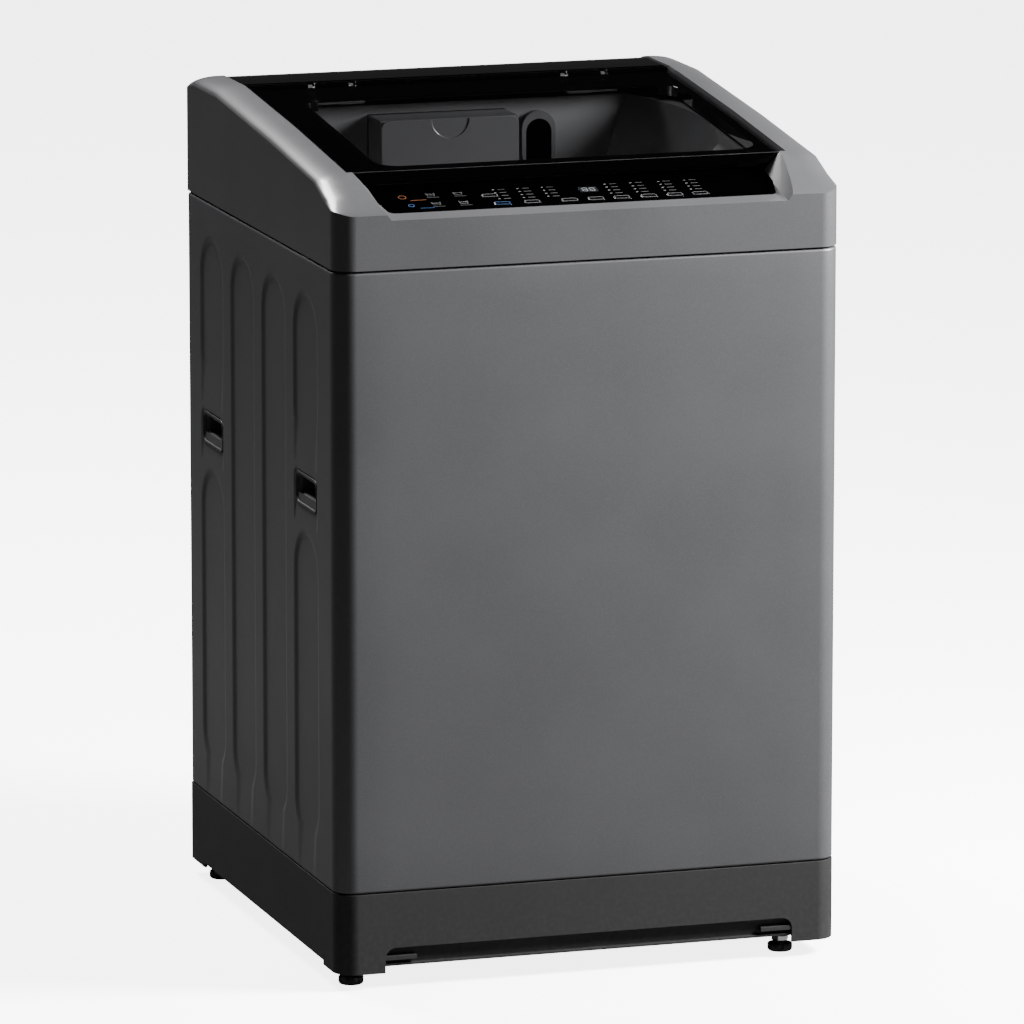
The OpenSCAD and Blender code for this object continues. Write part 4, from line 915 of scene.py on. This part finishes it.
@dataclass
class KeyStrip:
    """The sloping black strip with its display, printed marks and nine keys."""

    tilt: float = math.radians(15.4)
    display: tuple[float, float] = (16 * MM, 37 * MM)
    line: float = 0.35 * MM
    marks: list[tuple[str, tuple]] = field(default_factory=list)

    def place(self, x: float, up: float, out: float = 0.0) -> tuple[float, float, float]:
        """Returns the frame's coordinates of a place on the strip, all in metres."""
        y = STRIP_LOW.y + 3 * MM * math.sin(self.tilt)
        start = (y - 3 * MM * math.sin(self.tilt), STRIP_LOW.z + 3 * MM * math.cos(self.tilt))
        return (x, start[0] + up * math.cos(self.tilt) - out * math.sin(self.tilt),
                start[1] + up * math.sin(self.tilt) + out * math.cos(self.tilt))

    def build(self) -> None:
        """Builds the strip's pieces."""
        softened("control_panel", GLOSS_BLACK, 0.8, 2)
        softened("display_window", DISPLAY_DARK, 0.3, 2)
        softened("control_board", BOARD, 0.4, 1)
        for node in sorted(n for n in frame["nodes"] if n.startswith("key_")):
            self.key(node)
        self.print_marks()
        self.digits()

    def key(self, node: str) -> None:
        """Builds one key with a fine printed outline."""
        softened(node, KEY_BLACK, 0.5, 3)
        low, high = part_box(node)
        x = (low.x + high.x) / 2
        top = self.place(0, 0)
        up = (high.y - top[1]) / math.cos(self.tilt) - 4.5 * MM
        outline = self.ribbon(rounded(16.4 * MM, 6.6 * MM, 1.6 * MM, 4), self.line, x, up, 0.46 * MM, True)
        # The start key's outline is in the blue ink with its painted glow.
        finish = BLUE_PRINT_PAINTED_GLOW if node == "key_start" else PRINT
        piece = link(node + "_outline", new_mesh(node + "_outline", *outline), finish)
        dress(piece, body_of(node))

    def ribbon(self, path: Sequence[tuple[float, float]], width: float, x: float, up: float,
               out: float = 0.06 * MM, closed: bool = False) -> tuple[list[Point], list[tuple]]:
        """Returns the points and faces of a flat line drawn on the strip.

        Args:
            path: the line's points, about its own middle.
            width: the line's width.
            x: where its middle is across the strip.
            up: where its middle is up the strip.
            out: how far the line stands out of the face.
            closed: whether the line comes back to its start.

        Returns:
            Points in the frame's coordinates, and faces.
        """
        spots = [Vector((*p, 0)) for p in path]
        count = len(spots)
        points, faces = [], []
        for i, spot in enumerate(spots):
            before = spots[i - 1] if closed or i else spot
            after = spots[(i + 1) % count] if closed or i < count - 1 else spot
            ahead = (after - before).normalized()
            side = Vector((-ahead.y, ahead.x, 0)) * width / 2
            for place in (spot + side, spot - side):
                points += [self.place(x + place.x, up + place.y, lift) for lift in (out, out - 0.05 * MM)]
        runs = range(count if closed else count - 1)
        for i in runs:
            a, b = 4 * i, 4 * ((i + 1) % count)
            faces += [(a, a + 2, b + 2, b), (a + 1, b + 1, b + 3, a + 3), (a, b, b + 1, a + 1),
                      (a + 2, a + 3, b + 3, b + 2)]
        if not closed:
            last = 4 * (count - 1)
            faces += [(0, 1, 3, 2), (last, last + 2, last + 3, last + 1)]
        return points, faces

    def add(self, kind: str, path: Sequence[tuple[float, float]], x: float, up: float,
            width: float | None = None, closed: bool = False) -> None:
        """Notes a printed line, in millimetres, for one of the inks."""
        scaled = [(a * MM, b * MM) for a, b in path]
        self.marks.append((kind, self.ribbon(scaled, width or self.line, x * MM, up * MM, closed=closed)))

    def print_marks(self) -> None:
        """Prints the plain marks: rings, dashes and small pictures, with no lettering."""
        self.add("orange", arc((0, 0), 4.2, 20, 380, 20)[:-1], -196, 40, 0.5 * MM, True)
        self.add("orange", [(-9, 0), (9, 0)], -180, 31, 0.5 * MM)
        self.add("blue", arc((0, 0), 3.2, 0, 360, 16)[:-1], -192, 18, 0.5 * MM, True)
        self.add("blue", [(-8, 0), (8, 0)], -176, 10, 0.5 * MM)
        for x, up in ((-163, 44), (-163, 20), (-132, 44), (-132, 20)):
            self.picture(x, up)
            self.add("dim", [(-7, 0), (7, 0)], x + 1, up - 7.5, 0.5 * MM)
        for x in (-84, -56, -28, 44, 74, 106, 136):
            for i in range(4):
                self.add("pale", [(-1.2, 0), (1.2, 0)], x - 6, 24 + 8 * i, 1.0 * MM)
                self.add("dim", [(-4, 0), (4, 0)], x + 3, 24 + 8 * i, 0.7 * MM)
        # The blue and orange marks carry the inks' painted glow.
        for name, finish in (("pale", PRINT), ("dim", PRINT_DIM), ("blue", BLUE_PRINT_PAINTED_GLOW),
                             ("orange", ORANGE_PRINT_PAINTED_GLOW)):
            self.join(f"strip_marks_{name}", [m for kind, m in self.marks if kind == name], finish)

    def picture(self, x: float, up: float) -> None:
        """Prints a small plain picture of a tub with waves."""
        self.add("pale", [(-5, 3.5), (-4, -3.5), (4, -3.5), (5, 3.5)], x, up)
        wave = [(a / 2, 0.9 * math.sin(a * 1.3)) for a in range(-9, 10)]
        self.add("pale", wave, x, up + 1)

    def digits(self) -> None:
        """Draws two unlit seven-bar figures in the display."""
        bars = []
        for x in (-4.2, 4.2):
            for a, b in (((-2, 4), (2, 4)), ((-2, 0), (2, 0)), ((-2, -4), (2, -4))):
                bars.append([(x + a[0], a[1]), (x + b[0], b[1])])
            for sx in (-2.6, 2.6):
                bars += [[(x + sx, 0.6), (x + sx, 3.4)], [(x + sx, -3.4), (x + sx, -0.6)]]
        scaled = [[(a * MM, b * MM) for a, b in bar] for bar in bars]
        shapes = [self.ribbon(bar, 0.8 * MM, *self.display) for bar in scaled]
        self.join("display_digits", shapes, PRINT)

    def join(self, name: str, shapes: Sequence[tuple[list, list]], finish: Finish) -> None:
        """Joins flat shapes in one piece and puts it on the cabinet."""
        points, faces = [], []
        for shape_points, shape_faces in shapes:
            start = len(points)
            points += shape_points
            faces += [tuple(start + i for i in face) for face in shape_faces]
        dress(link(name, new_mesh(name, points, faces), finish), "cabinet")


@dataclass
class WashGroup:
    """The hanging tub, the basket with its pulsator and filter, and the drive under them."""

    def build(self) -> None:
        """Builds the hanging pieces."""
        for node in ("outer_tub", "tub_ring", "balance_ring", "basket_base", "pulsator", "filter_channel"):
            softened(node, WHITE_PLASTIC, 1.0, 2)
        softened("lint_filter", GREY_PLASTIC, 0.6, 2)
        softened("basket_wall", STAINLESS, 0.3, 1)
        self.holes()
        for node in ("mounting_frame", "corner_brackets"):
            softened(node, GALVANISED, 0.5, 1)
        for node in ("clutch_housing", "drive_pulley", "motor_pulley"):
            softened(node, ALUMINIUM, 0.7, 2)
        for node in ("shaft_bearings", "spin_shaft", "wash_shaft"):
            softened(node, SHAFT_STEEL, 0.4, 2)
        softened("motor_housing", MOTOR_ENAMEL, 1.5, 2)
        softened("tub_seal", RUBBER, 0.4, 2)
        softened("drive_belt", RUBBER, 0.5, 2)
        softened("drain_valve", DRAIN_PLASTIC, 1.0, 2)
        softened("drain_outlet", DRAIN_PLASTIC, 1.0, 2)
        bellows = softened("drain_bellows", BELLOWS, 0.5, 2)
        stretched(bellows)
        softened("suspension_rods", SHAFT_STEEL, 0.6, 2)
        softened("spring_cups", MATT_BLACK, 0.8, 2)
        self.springs()

    def holes(self) -> None:
        """Lines the basket wall with rows of small pressed drain holes."""
        low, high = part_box("basket_wall")
        radius = high.x - 1.0 * MM
        ring = 12
        levels = ((3.4, 0.02), (2.6, 0.55), (1.9, 0.35), (1.5, 0.06))
        points = [(x, y, h * MM) for r, h in levels for x, y in circle(r * MM, ring)]
        faces = grid_faces(len(levels), ring)
        shape = link("hole", new_mesh("hole", points, faces), STAINLESS)
        spots = []
        for i in range(14):
            z = low.z + 22 * MM + i * (high.z - low.z - 44 * MM) / 13
            for k in range(36):
                turn = 2 * math.pi * (k + 0.5 * (i % 2)) / 36
                if abs(turn - math.pi / 2) < 0.24:
                    continue
                spots.append(((radius * math.cos(turn), radius * math.sin(turn), z),
                              (-math.cos(turn), -math.sin(turn), 0)))
        dress(scattered("basket_holes", spots, shape, STAINLESS), "basket")

    def springs(self) -> None:
        """Winds the four suspension springs."""
        low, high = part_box("suspension_springs")
        wire = 1.6 * MM
        x, y = high.x - 14.6 * MM, high.y - 14.6 * MM
        points, faces = [], []
        for sx in (-1, 1):
            for sy in (-1, 1):
                turns, steps = 7, 24
                path = [(sx * x + 13 * MM * math.cos(2 * math.pi * i / steps),
                         sy * y + 13 * MM * math.sin(2 * math.pi * i / steps),
                         low.z + wire + (high.z - low.z - 2 * wire) * i / (turns * steps))
                        for i in range(turns * steps + 1)]
                more, sides = tube(path, wire, 10)
                start = len(points)
                points += more
                faces += [tuple(start + i for i in face) for face in sides]
        piece = link("suspension_coils", new_mesh("suspension_coils", points, faces), ZINC)
        dress(piece, "cabinet", ["suspension_springs"])
        stretched(piece)


@dataclass
class Studio:
    """A pale floor, soft lights and the camera.

    Attributes:
        azimuth: the camera's direction round the machine, in degrees from the front.
        elevation: its height over the target, in degrees.
        distance: how far it stands from the target.
        lens: its focal length in millimetres.
        target: where it looks.
        bounce: how much light the floor throws back at the machine.
        pale: how pale the floor looks.
        backdrop: how brightly the floor shows.
    """

    azimuth: float = -17.7
    elevation: float = 11.2
    distance: float = 10.0
    lens: float = 312.0
    target: Point = (0.005, 0.0, 0.463)
    bounce: float = 0.06
    pale: float = 0.9
    backdrop: float = 4.5

    def build(self) -> None:
        """Builds the studio."""
        self.floor()
        self.camera()
        self.world()
        self.light("key", (1.75, -0.95, 1.65), (0.25, -0.3, 0.85), (0.7, 0.7), 430.0)
        self.light("rim", (-1.0, 2.3, 3.9), (0.0, 0.0, 0.9), (1.5, 1.0), 380.0)
        self.light("lid_card", (2.05, 5.2, 2.26), (0.35, 0.0, 0.9), (3.0, 2.0), 0.12, roll=26.0)

    def floor(self) -> None:
        """Lays a wide floor."""
        mesh = new_mesh("floor", [(-30, -30, -0.0002), (30, -30, -0.0002), (30, 30, -0.0002),
                                  (-30, 30, -0.0002)], [(0, 1, 2, 3)])
        floor = link("floor", mesh, DRY_WHITE)
        graph = Graph(floor.active_material.node_tree, fresh=False)
        seen = graph.add("ShaderNodeLightPath").outputs["Is Camera Ray"]
        shader = next(node for node in graph.tree.nodes if node.type == "BSDF_PRINCIPLED")
        shader.inputs["Emission Color"].default_value = (1.0, 1.0, 1.0, 1.0)
        graph.feed(shader.inputs["Base Color"], graph.mix(seen, (self.bounce,) * 3, (self.pale,) * 3))
        graph.feed(shader.inputs["Emission Strength"], graph.maths("MULTIPLY", seen, self.backdrop))

    def camera(self) -> None:
        """Places the camera."""
        side, rise = math.radians(self.azimuth), math.radians(self.elevation)
        target = Vector(self.target)
        away = Vector((math.sin(side) * math.cos(rise), -math.cos(side) * math.cos(rise), math.sin(rise)))
        data = bpy.data.cameras.new("camera")
        data.lens = self.lens
        data.clip_end = 100
        camera = bpy.data.objects.new("camera", data)
        bpy.context.scene.collection.objects.link(camera)
        camera.location = target + away * self.distance
        camera.rotation_euler = (-away).to_track_quat("-Z", "Y").to_euler()
        bpy.context.scene.camera = camera

    def world(self) -> None:
        """Sets a pale world, darker in what the gloss mirrors than in what the camera sees."""
        world = bpy.data.worlds.new("studio")
        world.use_nodes = True
        graph = Graph(world.node_tree)
        path = graph.add("ShaderNodeLightPath")
        way = graph.add("ShaderNodeTexCoord").outputs["Generated"]
        rise = graph.add("ShaderNodeSeparateXYZ", {"Vector": way}).outputs["Z"]
        gloss = graph.ramp(rise, 0.0, 0.16, 0.30, 0.0012)
        ambient = graph.mix(path.outputs["Is Glossy Ray"], (0.17, 0.17, 0.173), gloss)
        colour = graph.mix(path.outputs["Is Camera Ray"], ambient, (6.0, 6.0, 6.0))
        back = graph.add("ShaderNodeBackground", {"Color": colour, "Strength": 1.0})
        graph.add("ShaderNodeOutputWorld", {"Surface": back.outputs[0]})
        bpy.context.scene.world = world

    def light(self, name: str, place: Point, aim: Point, size: tuple[float, float], power: float,
              roll: float = 0.0) -> None:
        """Adds a soft rectangular light aimed at a place, and turned in its own plane by roll degrees."""
        data = bpy.data.lights.new(name, "AREA")
        data.shape = "RECTANGLE"
        data.size, data.size_y = size
        data.energy = power
        lamp = bpy.data.objects.new(name, data)
        bpy.context.scene.collection.objects.link(lamp)
        lamp.location = place
        turn = (Vector(aim) - Vector(place)).to_track_quat("-Z", "Y")
        lamp.rotation_euler = (turn @ Quaternion((0, 0, 1), math.radians(roll))).to_euler()


def main() -> None:
    """Builds the machine's sub-assemblies and the studio, in order."""
    logging.basicConfig(level=logging.INFO, format="%(name)s: %(message)s")
    for part in (Cabinet(), Skirt(), TopCover(), Lid(), KeyStrip(), WashGroup(), Studio()):
        log.info("building %s", type(part).__name__)
        part.build()


if __name__ == "__main__":
    main()
